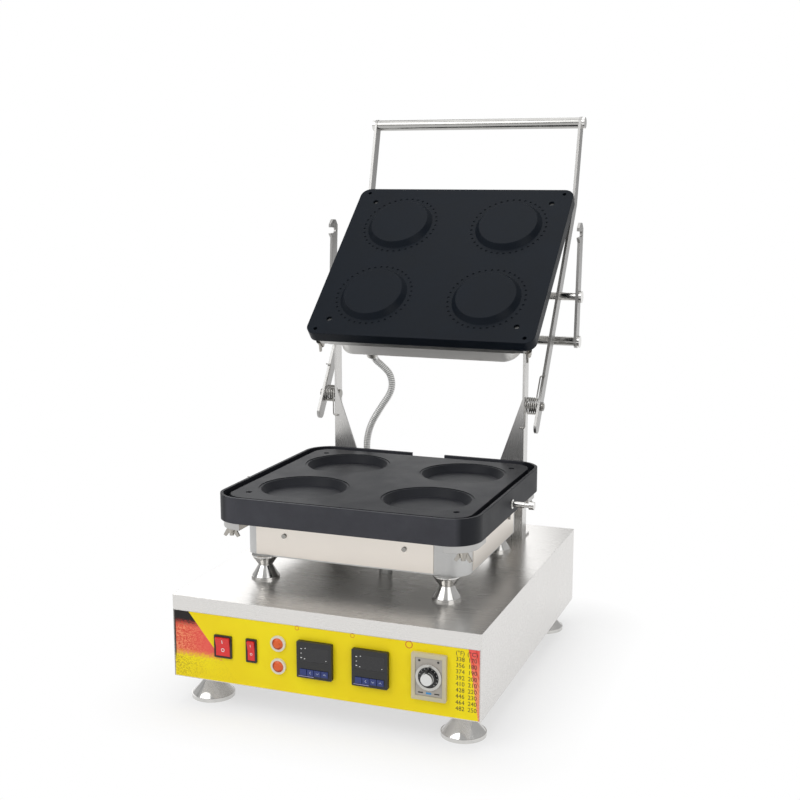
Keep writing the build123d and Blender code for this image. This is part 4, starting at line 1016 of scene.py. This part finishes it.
def plate_on_panel(name: str, corners: np.ndarray, y: float, thick: float,
                   material: Material, lean: float = 0.0, foot: float = 0.0) -> Piece:
    """A flat printed shape on the front, facing -Y, with its own thickness.

    Args:
        name: The piece's name.
        corners: Its outline in millimetres across and up, n by two, counter-clockwise seen from
            the front.
        y: The machine's Y in millimetres of the face it lies on.
        thick: Its thickness in millimetres.
        material: Its finish.
        lean: How far that face leans out as it goes up, in degrees.
        foot: The height in millimetres at which the leaning face is at y.

    Returns:
        The piece.
    """
    slope = tan(radians(lean))
    x, z = corners.T
    outline = np.stack(machine(x, y - (z - foot) * slope, z), -1)
    front = outline - np.array([0.0, thick * MM, 0.0])
    count = len(corners)
    faces = [list(range(count, 2 * count)), list(range(count))[::-1]]
    faces += grid_faces(2, count).tolist()
    return mesh_piece(name, np.concatenate([outline, front]), faces, material, smooth=False)


def joined(name: str, pieces: Sequence[Piece]) -> Piece:
    """Several new meshes as one object.

    Args:
        name: The joined piece's name.
        pieces: Objects at the origin.

    Returns:
        The one object.
    """
    form = bmesh.new()
    materials: list[Material] = []
    for piece in pieces:
        start = len(form.faces)
        form.from_mesh(piece.data)
        form.faces.ensure_lookup_table()
        material = piece.data.materials[0]
        if material not in materials:
            materials.append(material)
        for face in form.faces[start:]:
            face.material_index = materials.index(material)
        bpy.data.objects.remove(piece)
    mesh = bpy.data.meshes.new(name)
    form.to_mesh(mesh)
    form.free()
    for material in materials:
        mesh.materials.append(material)
    return placed(name, mesh)


def printed_marks(name: str, outlines: Iterable[np.ndarray], y: float, thick: float,
                  material: Material) -> Piece:
    """Flat shapes of one ink on the front, as one object.

    Args:
        name: The object's name.
        outlines: Each shape's corners in millimetres.
        y: The machine's Y in millimetres of the face they lie on.
        thick: Their thickness in millimetres.
        material: Their ink.

    Returns:
        The one object.
    """
    return joined(name, [plate_on_panel("mark", outline, y, thick, material) for outline in outlines])


def printed_text(words: str, x: float, z: float, y: float, height: float,
                 material: Material) -> Piece:
    """Plain figures on the panel, as a thin mesh.

    Args:
        words: The figures.
        x: Their middle in millimetres.
        z: Their foot in millimetres.
        y: The face they lie on, in the machine's millimetres.
        height: The figures' size in millimetres.
        material: Their ink.

    Returns:
        The mesh, at the origin.
    """
    curve = bpy.data.curves.new("figures", "FONT")
    curve.body = words
    curve.size = height * TEXT_SIZE_TO_HEIGHT * MM
    curve.extrude = TEXT_HALF_THICKNESS * MM
    curve.resolution_u = TEXT_CURVE_STEPS
    curve.align_x = "CENTER"
    mesh = curve_mesh(curve)
    flat = mesh_points(mesh)
    foot = np.array(machine(x, y, z))
    points = np.stack([flat[:, 0] + foot[0], foot[1] - flat[:, 2], flat[:, 1] + foot[2]], -1)
    mesh.vertices.foreach_set("co", points.astype(np.float32).ravel())
    mesh.materials.clear()
    mesh.materials.append(material)
    mesh.update()
    return placed("figures", mesh)


def disc_corners(x: float, z: float, radius: float, count: int = ROUND_CORNERS) -> np.ndarray:
    """A circle's corners in millimetres, counter-clockwise seen from the front."""
    angle = np.linspace(0, 2 * pi, count, endpoint=False)
    return np.stack([x + radius * np.cos(angle), z + radius * np.sin(angle)], -1)


def bar_corners(x: float, z: float, width: float, height: float) -> np.ndarray:
    """A rectangle's corners in millimetres about its middle, counter-clockwise seen from the front."""
    a, b = width / 2, height / 2
    return np.array([(x - a, z - b), (x + a, z - b), (x + a, z + b), (x - a, z + b)])


def dress(finish: Material, *nodes: str) -> None:
    """Give frame nodes a finish in all their slots.

    Args:
        finish: The material.
        *nodes: The nodes' names.
    """
    for name in nodes:
        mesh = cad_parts[name].data
        mesh.materials.clear()
        mesh.materials.append(finish)


def ride(piece: Piece, body: Body | str) -> Piece:
    """Put a new piece on its body."""
    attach(piece, body.value if isinstance(body, Body) else body)
    return piece


def ring_corners(x: float, z: float, outer: float, inner: float,
                 count: int = ROUND_CORNERS) -> np.ndarray:
    """A flat ring's outline in millimetres: once round outside, then back round inside.

    Args:
        x: The middle across.
        z: The middle's height.
        outer: The outer radius.
        inner: The inner radius.
        count: Steps in one round.

    Returns:
        The corners, n by two.
    """
    around = np.linspace(0, 2 * pi, count + 1)
    angle = np.concatenate([around, around[::-1]])
    radius = np.repeat([outer, inner], count + 1)
    return np.stack([x + radius * np.cos(angle), z + radius * np.sin(angle)], -1)


# Stage


@dataclass
class Stage:
    """The camera at the photograph's angle, a pale floor, a white surround and soft lamps."""

    camera_place: Point = (0.6291, -1.70925, 0.6940)
    pitch: float = 0.177
    yaw: float = 0.359
    lens: float = 57.3
    sensor: float = 36.0
    floor_half: float = 9.0
    floor_colour: Colour = (0.88, 0.88, 0.88)
    floor_grain: float = 60.0
    floor_mottle: float = 0.985
    floor_roughness: float = 0.7
    floor_specular: float = 0.15
    far_clip: float = 60.0
    surround_light: float = 0.45
    base_half: Pair = (0.20, 0.235)
    grey_patches: tuple[tuple[Point, float, float], ...] = (
        ((0.75, -0.35, 0.55), 16.0, 0.84),
        ((-0.9, -0.2, 0.35), 11.0, 0.70),
        ((-0.27, 0.91, 0.31), 20.0, 0.34),
    )
    patch_edge: Pair = (1.5, 0.6)
    mirror_shade: float = 0.5
    shadow_reach: float = 0.13
    shadow_shares: Pair = (0.55, 1.0)
    lamps: tuple[tuple[str, Point, float, float, Point], ...] = (
        ("key_lamp", (-1.5, -2.0, 2.6), 2.4, 42.0, (0.0, 0.0, 0.35)),
        ("fill_lamp", (2.2, -1.7, 1.5), 2.0, 16.0, (0.0, 0.0, 0.35)),
        ("top_lamp", (0.2, 0.4, 2.8), 2.6, 24.0, (0.0, 0.0, 0.35)),
        ("back_lamp", (-1.2, 2.4, 1.6), 1.8, 12.0, (0.0, 0.0, 0.4)),
    )

    def camera(self) -> None:
        """Make the camera: it looks along +Y, turned left by the yaw and down by the pitch."""
        data = bpy.data.cameras.new("camera")
        data.lens = self.lens
        data.sensor_width = self.sensor
        data.clip_end = self.far_clip
        view = placed("camera", data)
        view.location = self.camera_place
        view.rotation_euler = (pi / 2 - self.pitch, 0.0, self.yaw)
        bpy.context.scene.camera = view

    def lamp(self, name: str, place: Point, size: float, power: float, target: Point) -> None:
        """Make one square lamp that faces a point.

        Args:
            name: The lamp's name.
            place: Where it hangs.
            size: Its side in metres.
            power: Its power in watts.
            target: The point that it faces.
        """
        data = bpy.data.lights.new(name, "AREA")
        data.shape = "SQUARE"
        data.size = size
        data.energy = power
        lamp = placed(name, data)
        lamp.location = place
        away = np.array(place) - np.array(target)
        flat = float(np.hypot(away[0], away[1]))
        lamp.rotation_euler = (atan2(flat, away[2]), 0.0, atan2(away[0], -away[1]))

    def seen(self, n: Nodes) -> Socket:
        """1 for rays from the camera, a mirror or a glass, and 0 for the rest.

        Args:
            n: The world's or a material's nodes.

        Returns:
            The mask.
        """
        path = n.add("ShaderNodeLightPath")
        either = path.outputs["Is Camera Ray"]
        for name in ("Is Glossy Ray", "Is Transmission Ray"):
            either = n.math("MAXIMUM", path.outputs[name], either)
        return either

    def surround(self, n: Nodes) -> Socket:
        """White to the camera, and a plain grey with soft darker patches to a mirror.

        A patch is where the direction's dot product with the patch's own
        direction nears 1, and its depth is how dark it is, so that polished
        metal shows some dark streaks, as it would in a room.

        Args:
            n: The world's nodes.

        Returns:
            The colour.
        """
        shade: object = self.mirror_shade
        for towards, wide, depth in self.grey_patches:
            dot = n.add("ShaderNodeVectorMath", operation="DOT_PRODUCT")
            n.link(n.coords.outputs["Generated"], dot.inputs[0])
            dot.inputs[1].default_value = (np.array(towards) / np.linalg.norm(towards)).tolist()
            near = n.add("ShaderNodeMapRange", interpolation_type="SMOOTHSTEP")
            outer, inner = (cos(radians(share * wide)) for share in self.patch_edge)
            for socket, value in zip(near.inputs, (dot.outputs["Value"], outer, inner, 0.0, depth)):
                n.put(socket, value)
            shade = n.math("MAXIMUM", near.outputs["Result"], shade)
        path = n.add("ShaderNodeLightPath")
        return n.mix(n.math("MULTIPLY", shade, path.outputs["Is Glossy Ray"]), WHITE, BLACK)

    def world(self) -> None:
        """A white surround where it is seen or mirrored, and a soft grey light elsewhere."""
        world = bpy.data.worlds.new("surround")
        bpy.context.scene.world = world
        n = Nodes(world)
        light = n.tree.nodes["Background"]
        light.inputs["Color"].default_value = (*WHITE, 1.0)
        light.inputs["Strength"].default_value = self.surround_light
        white = n.add("ShaderNodeBackground")
        n.link(self.surround(n), white.inputs["Color"])
        white.inputs["Strength"].default_value = 1.0
        n.shaders(self.seen(n), light.outputs[0], white.outputs[0], "World Output")

    def beyond_base(self, n: Nodes) -> Socket:
        """How far a place on the floor lies outside the base's outline.

        Each coordinate's distance past the base's half width or depth, and no
        less than nothing, is one leg, and the result is the length of both.

        Args:
            n: The floor's nodes.

        Returns:
            The distance in metres.
        """
        legs = []
        for value, middle, half in zip(n.axes(), machine(0.0, 0.0, 0.0), self.base_half):
            away = n.math("ABSOLUTE", n.math("SUBTRACT", value, middle))
            legs.append(n.math("MAXIMUM", n.math("SUBTRACT", away, half), 0.0))
        return n.length(*legs)

    def floor(self) -> Piece:
        """A white floor that keeps the machine's soft shadow near the base and fades to plain white.

        Returns:
            The floor.
        """
        n = FinishNodes("floor")
        near, far = self.shadow_shares
        share = n.remap(self.beyond_base(n), 0.0, self.shadow_reach, near, far)
        grain = n.level(n.noise(self.floor_grain, 3.0), 0.0, 1.0)
        darker = shaded(self.floor_colour, self.floor_mottle)
        n.surface(Base_Color=n.mix(grain, self.floor_colour, darker),
                  Roughness=self.floor_roughness, Specular_IOR_Level=self.floor_specular)
        white = n.add("ShaderNodeEmission")
        white.inputs["Strength"].default_value = 1.0
        share = n.math("MULTIPLY", self.seen(n), share)
        n.shaders(share, n.shader.outputs[0], white.outputs[0], "Material Output")
        h = self.floor_half
        corners = np.array([[-h, -h, 0.0], [h, -h, 0.0], [h, h, 0.0], [-h, h, 0.0]])
        floor = mesh_piece("floor", corners, [[0, 1, 2, 3]], n.material, smooth=False)
        return floor

    def build(self) -> None:
        """Make the whole stage."""
        self.camera()
        self.world()
        self.floor()
        for name, place, size, power, target in self.lamps:
            self.lamp(name, place, size, power, target)
        bpy.context.scene.view_settings.view_transform = "Standard"


# Cords


@dataclass
class Hose:
    """The ribbed conduit from the base's gland, behind the hinge, to the head's gland."""

    diameter: float = 11.0 * MM
    pitch: float = 3.0 * MM
    groove: float = 0.7 * MM
    sides: int = 20
    per_pitch: int = 8
    narrowing: float = 1.5
    plain_end: float = 0.99
    order: int = 3
    per_span: int = 24
    lower_share: float = 0.745
    route: tuple[Point, ...] = (
        (-103.0, 190.0, 162.0),
        (-103.0, 190.0, 200.0),
        (-107.0, 189.0, 236.0),
        (-112.0, 187.0, 271.0),
        (-103.0, 183.0, 304.0),
        (-84.0, 181.0, 334.0),
        (-66.0, 184.0, 361.0),
        (-69.0, 187.0, 384.0),
        (-82.0, 185.0, 398.0),
        (-93.0, 178.05, 408.6),
        (-93.0, 169.45, 418.4),
    )

    def line(self) -> np.ndarray:
        """The route's smooth line: a NURBS of order 3 with the route's points as its control points.

        Returns:
            The line's points in metres, n by three.
        """
        curve = bpy.data.curves.new("hose_line", "CURVE")
        curve.dimensions = "3D"
        spline = curve.splines.new("NURBS")
        spline.points.add(len(self.route) - 1)
        points = np.array([machine(*point) for point in self.route])
        flat = np.concatenate([points, np.ones((len(points), 1))], 1)
        spline.points.foreach_set("co", flat.ravel())
        spline.order_u = self.order
        spline.use_endpoint_u = True
        spline.resolution_u = self.per_span
        mesh = curve_mesh(curve)
        line = mesh_points(mesh)
        bpy.data.meshes.remove(mesh)
        return line

    def stretch(self, name: str, line: np.ndarray, start: float, end: float,
                finish: Material) -> tuple[Piece, np.ndarray]:
        """One stretch of the hose.

        The radius along it is the outer radius less the groove's depth times a
        raised cosine that is narrow in each pitch, and plain at the hose's ends.

        Args:
            name: The piece's name.
            line: The whole hose's line.
            start: Where the stretch starts, in metres along the line.
            end: Where it ends.
            finish: Its finish.

        Returns:
            The piece, and the points that it follows.
        """
        steps = max(self.per_pitch, int((end - start) / self.pitch * self.per_pitch))
        along = np.linspace(start, end, steps)
        path = resampled(line, along)
        whole = path_length(line)
        wave = 0.5 + 0.5 * np.cos(2 * pi * along / self.pitch)
        ribbed = np.clip(np.minimum(along, whole - along) / self.diameter, 0, 1) > self.plain_end
        dip = np.where(ribbed, wave ** self.narrowing, 0.0)
        rings = swept(path, self.diameter / 2 - self.groove * dip, self.sides)
        points, faces = closed_tube(rings)
        piece = mesh_piece(name, points, faces, finish)
        # The rib attribute is 1 on the ribs and 0 deep in the grooves; the hose's finish paints shade
        # in the grooves by it.
        rib = piece.data.attributes.new("rib", "FLOAT", "POINT")
        rib.data.foreach_set("value", np.repeat(1.0 - dip, self.sides).astype(np.float32))
        return piece, path

    def build(self, finish: Material) -> None:
        """Args:
            finish: The hose's finish.
        """
        line = self.line()
        whole = path_length(line)
        meet = whole * self.lower_share
        parts = (
            ("hose_lower", 0.0, meet, "conduit_lower", Body.BASE, Body.LID),
            ("hose_upper", meet, whole, "conduit_upper", Body.LID, Body.HEAD),
        )
        for name, start, end, node, low, high in parts:
            piece, path = self.stretch(name, line, start, end, finish)
            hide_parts(node)
            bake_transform(piece)
            LOG.info("%s %.0f mm", name, path_length(path) / MM)


# Sub-assemblies


@dataclass
class Springs:
    """Two torsion springs round the arm hinge, each one unbroken wire.

    A hook and a leg on the upright, the curls, then a leg and a hook on the
    arm. A curl's point is the hinge axis plus the mean radius times the cosine
    and sine of its angle, moved along X by the pitch for each whole turn.
    """

    wire: float = 2.2
    pitch: float = 3.1
    turns: float = 5 + 33.8 / 360
    mean_radius: float = 12.0
    start_x: float = 153.6
    hinge: Pair = (168.0, 353.5)
    legs: Pair = (32.0, 44.0)
    bend: float = 2.6
    bend_points: int = 7
    hook: float = 5.0
    hook_start: float = 0.5
    hook_points: int = 4
    pinned: float = 1.0
    per_turn: int = 36
    sides: int = 12

    def hooked_leg(self, corner: np.ndarray, ahead: np.ndarray, out: float) -> np.ndarray:
        """The points of a hook's end, its bend and the start of its leg.

        Args:
            corner: Where the leg and the hook would meet, in millimetres.
            ahead: The leg's direction, from the corner to the curls.
            out: The side that the hook points to along X.

        Returns:
            The points, from the hook's tip.
        """
        turn = np.linspace(0, pi / 2, self.bend_points)[:, None]
        side = np.array([out, 0.0, 0.0])
        centre = corner + self.bend * (side + ahead)
        arc = centre - self.bend * (np.cos(turn) * ahead + np.sin(turn) * side)
        reach = np.linspace(self.hook, self.hook_start, self.hook_points)[:, None]
        return np.concatenate([corner + (self.bend + reach) * side, arc])

    def path(self) -> tuple[np.ndarray, np.ndarray]:
        """The right spring's points in millimetres, and the way from the hinge axis at each.

        Returns:
            The points, and a unit vector for each.
        """
        turned = np.linspace(0, 2 * pi * self.turns, int(self.turns * self.per_turn) + 1)
        angle = pi - turned
        radial = np.stack([np.zeros_like(angle), np.cos(angle), np.sin(angle)], -1)
        axis = np.array([self.start_x, *self.hinge])
        curls = axis + self.mean_radius * radial
        curls[:, 0] += self.pitch * turned / (2 * pi)
        ways = np.stack([np.zeros_like(angle), np.sin(angle), -np.cos(angle)], -1)
        low = self.hooked_leg(curls[0] - self.legs[0] * ways[0], ways[0], -1.0)
        high = self.hooked_leg(curls[-1] + self.legs[1] * ways[-1], -ways[-1], 1.0)[::-1]
        points = np.concatenate([low, curls, high])
        across = np.concatenate([np.repeat(radial[:1], len(low), 0), radial,
                                 np.repeat(radial[-1:], len(high), 0)])
        return points, across

    def build(self, finish: Material) -> None:
        """Make both springs, in place of the frame's torsion springs, which are hidden.

        Args:
            finish: The wire's finish.
        """
        points, across = self.path()
        for sign, name in ((-1, "spring_left"), (1, "spring_right")):
            mirror = np.array([sign, 1.0, 1.0])
            path = (points * mirror + np.array([0.0, SHIFT_Y, 0.0])) * MM
            rings = swept(path, np.full(len(path), self.wire / 2 * MM), self.sides, across * mirror)
            piece = mesh_piece(name, *closed_tube(rings), finish)
            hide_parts("torsion_springs")
            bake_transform(piece)


@dataclass
class ControlPanel:
    """The printed film's table of figures and its ring marks."""

    film: float = -244.4
    ink: float = 0.06
    table_x: Pair = (185.0, 200.6)
    table_top: float = 112.6
    table_step: float = 7.9
    figure_height: float = 5.6
    celsius_low: int = 170
    celsius_step: int = 10
    rows: int = 9
    ring_marks: tuple[Point, ...] = ((-32.0, 126.6, 2.9), (44.0, 126.6, 2.9), (119.0, 125.0, 4.8))
    ring_bore: float = 0.82

    def row(self, words: Sequence[str], z: float, ink: Material) -> list[Piece]:
        """One word in each column, with its foot at height z."""
        return [printed_text(word, x, z, self.film, self.figure_height, ink)
                for x, word in zip(self.table_x, words)]

    def figures(self, paint: dict[str, Material]) -> Piece:
        """The table of temperatures: each Fahrenheit figure is 9/5 of the Celsius one plus 32.

        Args:
            paint: The finishes by name.

        Returns:
            The figures as one piece.
        """
        ink = paint["black_ink"]
        pieces = self.row(("(\u00b0F)", "(\u00b0C)"), self.table_top + self.table_step, ink)
        for row in range(self.rows):
            celsius = self.celsius_low + row * self.celsius_step
            figures = (f"{celsius * 9 / 5 + 32:.0f}", f"{celsius:.0f}")
            pieces += self.row(figures, self.table_top - row * self.table_step, ink)
        return joined("temperature_figures", pieces)

    def rings(self, paint: dict[str, Material]) -> Piece:
        """The small red rings along the film's top edge.

        Args:
            paint: The finishes by name.

        Returns:
            The rings as one piece.
        """
        outlines = [ring_corners(x, z, radius, self.ring_bore * radius)
                    for x, z, radius in self.ring_marks]
        return printed_marks("ring_marks", outlines, self.film, self.ink, paint["red_ink"])

    def build(self, paint: dict[str, Material]) -> None:
        """Make the printed marks and put them on the base."""
        for piece in (self.figures(paint), self.rings(paint)):
            ride(piece, Body.BASE)


@dataclass
class Controller:
    """The marks on one temperature controller: tiny lines in its window and signs on its keys."""

    side: str
    x: float
    z: float = 88.0
    frame_face: float = -250.4
    window_face: float = -250.2
    key_face: float = -251.4
    key_step: float = 9.8
    key_drop: float = 16.0
    middle_key: float = 2.5
    sign: float = 1.7
    ink: float = 0.06
    marks: tuple[Point, ...] = (
        (-17.5, 14.5, 2.0),
        (-12.0, 15.5, 1.4),
        (-17.5, 8.5, 1.4),
        (-17.5, 2.8, 2.2),
        (-13.0, 1.6, 1.6),
        (16.5, 2.2, 1.0),
    )
    mark_height: float = 1.0
    line: tuple[float, float, float, float] = (-11.0, -21.6, 21.0, 0.7)
    key_turns: tuple[tuple[int, float], ...] = ((2, pi / 2), (3, pi), (4, 0.0))
    chevron: tuple[Pair, ...] = (
        (-1.0, -0.70), (0.0, 0.30), (1.0, -0.70), (1.0, -0.30), (0.0, 0.70), (-1.0, -0.30))

    def window_marks(self, paint: dict[str, Material]) -> Piece:
        """Small pale marks in the window, five at the left and one at the right.

        Args:
            paint: The finishes by name.

        Returns:
            The marks as one piece.
        """
        outlines = [bar_corners(self.x + across, self.z + up, width, self.mark_height)
                    for across, up, width in self.marks]
        return printed_marks("window_marks_" + self.side, outlines, self.window_face, self.ink,
                             paint["white_ink"])

    def key_signs(self, paint: dict[str, Material]) -> None:
        """A left, a down and an up chevron, each on its own key.

        Args:
            paint: The finishes by name.
        """
        for number, turn in self.key_turns:
            spin = np.array([[np.cos(turn), -np.sin(turn)], [np.sin(turn), np.cos(turn)]])
            middle = [self.x + (number - self.middle_key) * self.key_step, self.z - self.key_drop]
            corners = self.sign * np.array(self.chevron) @ spin.T + middle
            key = f"key_{self.side}_{number}"
            piece = plate_on_panel("sign_" + key, corners, self.key_face, self.ink, paint["pale_ink"])
            ride(piece, key)

    def build(self, paint: dict[str, Material]) -> None:
        """Make the marks.

        Args:
            paint: The finishes by name.
        """
        ride(self.window_marks(paint), Body.BASE)
        self.key_signs(paint)
        across, up, width, height = self.line
        outline = bar_corners(self.x + across, self.z + up, width, height)
        line = plate_on_panel("line_" + self.side, outline, self.frame_face, self.ink,
                              paint["violet_ink"])
        ride(line, Body.BASE)


@dataclass
class Timer:
    """The timer's dial: a black disc with ticks in a silver ring, two dots and the marks under it."""

    x: float = 146.1
    z: float = 88.0
    dial_face: float = -250.0
    plate_face: float = -248.4
    ink: float = 0.06
    disc: float = 13.4
    disc_thickness: float = 0.12
    disc_corners: int = 48
    ring: float = 17.0
    ring_thickness: float = 0.08
    tick_radius: float = 12.4
    tick_length: float = 1.5
    tick_half: float = 0.25
    ticks: int = 13
    tick_arc: float = 280.0
    dot: Point = (12.2, 20.5, 1.5)
    dot_thickness: float = 0.2
    bar: tuple[float, float, float, float] = (10.6, -20.6, 6.5, 1.6)
    patch: Point = (-20.8, 7.0, 2.6)

    def tick(self, share: float) -> np.ndarray:
        """One tick's corners in millimetres.

        Args:
            share: The tick's place on the arc, from -0.5 at its left end to 0.5 at its right.

        Returns:
            The corners, four by two.
        """
        turn = radians(90.0 - self.tick_arc * share)
        way = np.array([np.cos(turn), np.sin(turn)])
        side = np.array([-way[1], way[0]]) * self.tick_half
        outer, inner = way * self.tick_radius, way * (self.tick_radius - self.tick_length)
        outline = np.array([outer + side, inner + side, inner - side, outer - side])
        return outline + (self.x, self.z)

    def face_marks(self, paint: dict[str, Material]) -> Piece:
        """Two dots above the dial, and two bars and a patch below it.

        Args:
            paint: The finishes by name.

        Returns:
            The marks as one piece.
        """
        across, up, radius = self.dot
        dots = [disc_corners(self.x + side * across, self.z + up, radius) for side in (-1, 1)]
        across, up, *size = self.bar
        bars = [bar_corners(self.x + side * across, self.z + up, *size) for side in (-1, 1)]
        up, *size = self.patch
        patch = [bar_corners(self.x, self.z + up, *size)]
        groups = ((dots, self.dot_thickness, "black_plastic"), (bars, self.ink, "black_ink"),
                  (patch, self.ink, "blue_ink"))
        return joined("timer_marks", [
            printed_marks("marks", outlines, self.plate_face, thick, paint[finish])
            for outlines, thick, finish in groups])

    def build(self, paint: dict[str, Material]) -> None:
        """Make the disc, its ticks, its ring and the face's marks, and put them on the base.

        Args:
            paint: The finishes by name.
        """
        outline = disc_corners(self.x, self.z, self.disc, self.disc_corners)
        disc = plate_on_panel("dial_disc", outline, self.dial_face, self.disc_thickness,
                              paint["black_plastic"])
        ride(disc, Body.BASE)
        outline = ring_corners(self.x, self.z, self.ring, self.disc)
        ring = plate_on_panel("dial_ring", outline, self.dial_face, self.ring_thickness,
                              paint["nickel"])
        ride(ring, Body.BASE)
        face = self.dial_face - self.disc_thickness
        outlines = [self.tick(share) for share in np.linspace(-0.5, 0.5, self.ticks)]
        ticks = printed_marks("dial_ticks", outlines, face, self.ink, paint["white_ink"])
        ride(ticks, Body.BASE)
        ride(self.face_marks(paint), Body.BASE)


@dataclass
class Rocker:
    """The on and off signs on one rocker: a bar on its leaning upper half and a ring below."""

    body: Body
    x: float
    scale: float
    z: float = 88.0
    face: float = -246.6
    lean: float = 14.0
    ink: float = 0.08
    bar: Point = (7.2, 1.1, 5.0)
    ring: Point = (-4.4, 2.5, 1.6)

    def build(self, paint: dict[str, Material]) -> None:
        """Make the two signs and put them on the rocker.

        Args:
            paint: The finishes by name.
        """
        white, k = paint["white_ink"], self.scale
        up, width, height = self.bar
        outline = bar_corners(self.x, self.z + up, width * k, height * k)
        bar = plate_on_panel("on_sign", outline, self.face, self.ink, white, self.lean, self.z)
        up, outer, inner = self.ring
        outline = ring_corners(self.x, self.z + up, outer * k, inner * k)
        ring = plate_on_panel("off_sign", outline, self.face, self.ink, white)
        ride(joined("signs_" + self.body.value, [bar, ring]), self.body)


def dress_frame(paint: dict[str, Material]) -> None:
    """Give every node of the frame its finish.

    Args:
        paint: The finishes by name.
    """
    plan: dict[str, tuple[str, ...]] = {
        "cover_steel": ("base_cover", "base_pan", "front_panel"),
        "side_sheet_steel": ("lower_side_sheets",),
        "upright_steel": ("uprights", "head_lugs"),
        "arm_steel_painted_shade": ("arm_left", "arm_right", "latch_bar_left", "latch_bar_right"),
        "head_cover_steel_painted_light": ("upper_cover",),
        "polished_steel": ("feet", "posts", "foot_nuts", "lock_pins", "head_pivot_pins",
                           "handle_screws", "latch_screws"),
        "screw_steel": ("hinge_bolts", "machine_screws"),
        "wing_nut_steel": ("lower_wing_nuts", "upper_wing_nuts"),
        "tube_steel": ("handle_tube", "latch_tube"),
        "nickel": ("base_conduit_gland", "head_conduit_gland"),
        "tray_aluminium": ("lower_tray",),
        "heater_aluminium": ("lower_heater_plate", "upper_heater_plate"),
        "coated_casting": ("lower_mould_block",),
        "coated_plate": ("upper_mould_plate",),
        "dark_steel": ("upper_plate_screws", "lower_heating_element", "upper_heating_element"),
        "duct_steel": ("wire_duct",),
        "black_plastic": ("temperature_controllers", "mains_gland", "contactor"),
        "switch_black": ("switch_frames",),
        "window_dark": ("controller_windows",),
        "key_blue": tuple(f"key_{side}_{n}" for side in ("left", "right") for n in (1, 2, 3, 4)),
        "beige_plastic": ("timer_body",),
        "timer_silver": ("timer_face",),
        "knob": ("timer_knob",),
        "rocker_red": ("power_rocker", "second_rocker"),
        "white_plastic": ("pilot_bezels",),
        "lens_orange": ("pilot_lenses",),
        "terminal_plastic": ("terminal_strip",),
        "panel_print": ("panel_film",),
    }
    for finish, nodes in plan.items():
        dress(paint[finish], *nodes)


def main() -> None:
    """Build the classes in order; the hose logs the length of each of its stretches."""
    logging.basicConfig(level=logging.INFO, format="%(name)s: %(message)s")
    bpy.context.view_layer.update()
    Stage().build()
    paint = finishes()
    Hose().build(paint["hose_grey"])
    dress_frame(paint)
    Springs().build(paint["spring_steel"])
    ControlPanel().build(paint)
    for side, x in (("left", -6.3), ("right", 69.0)):
        Controller(side, x).build(paint)
    Timer().build(paint)
    Rocker(Body.POWER, -137.5, 1.0).build(paint)
    Rocker(Body.SECOND, -96.5, 0.7).build(paint)


if __name__ == "__main__":
    main()
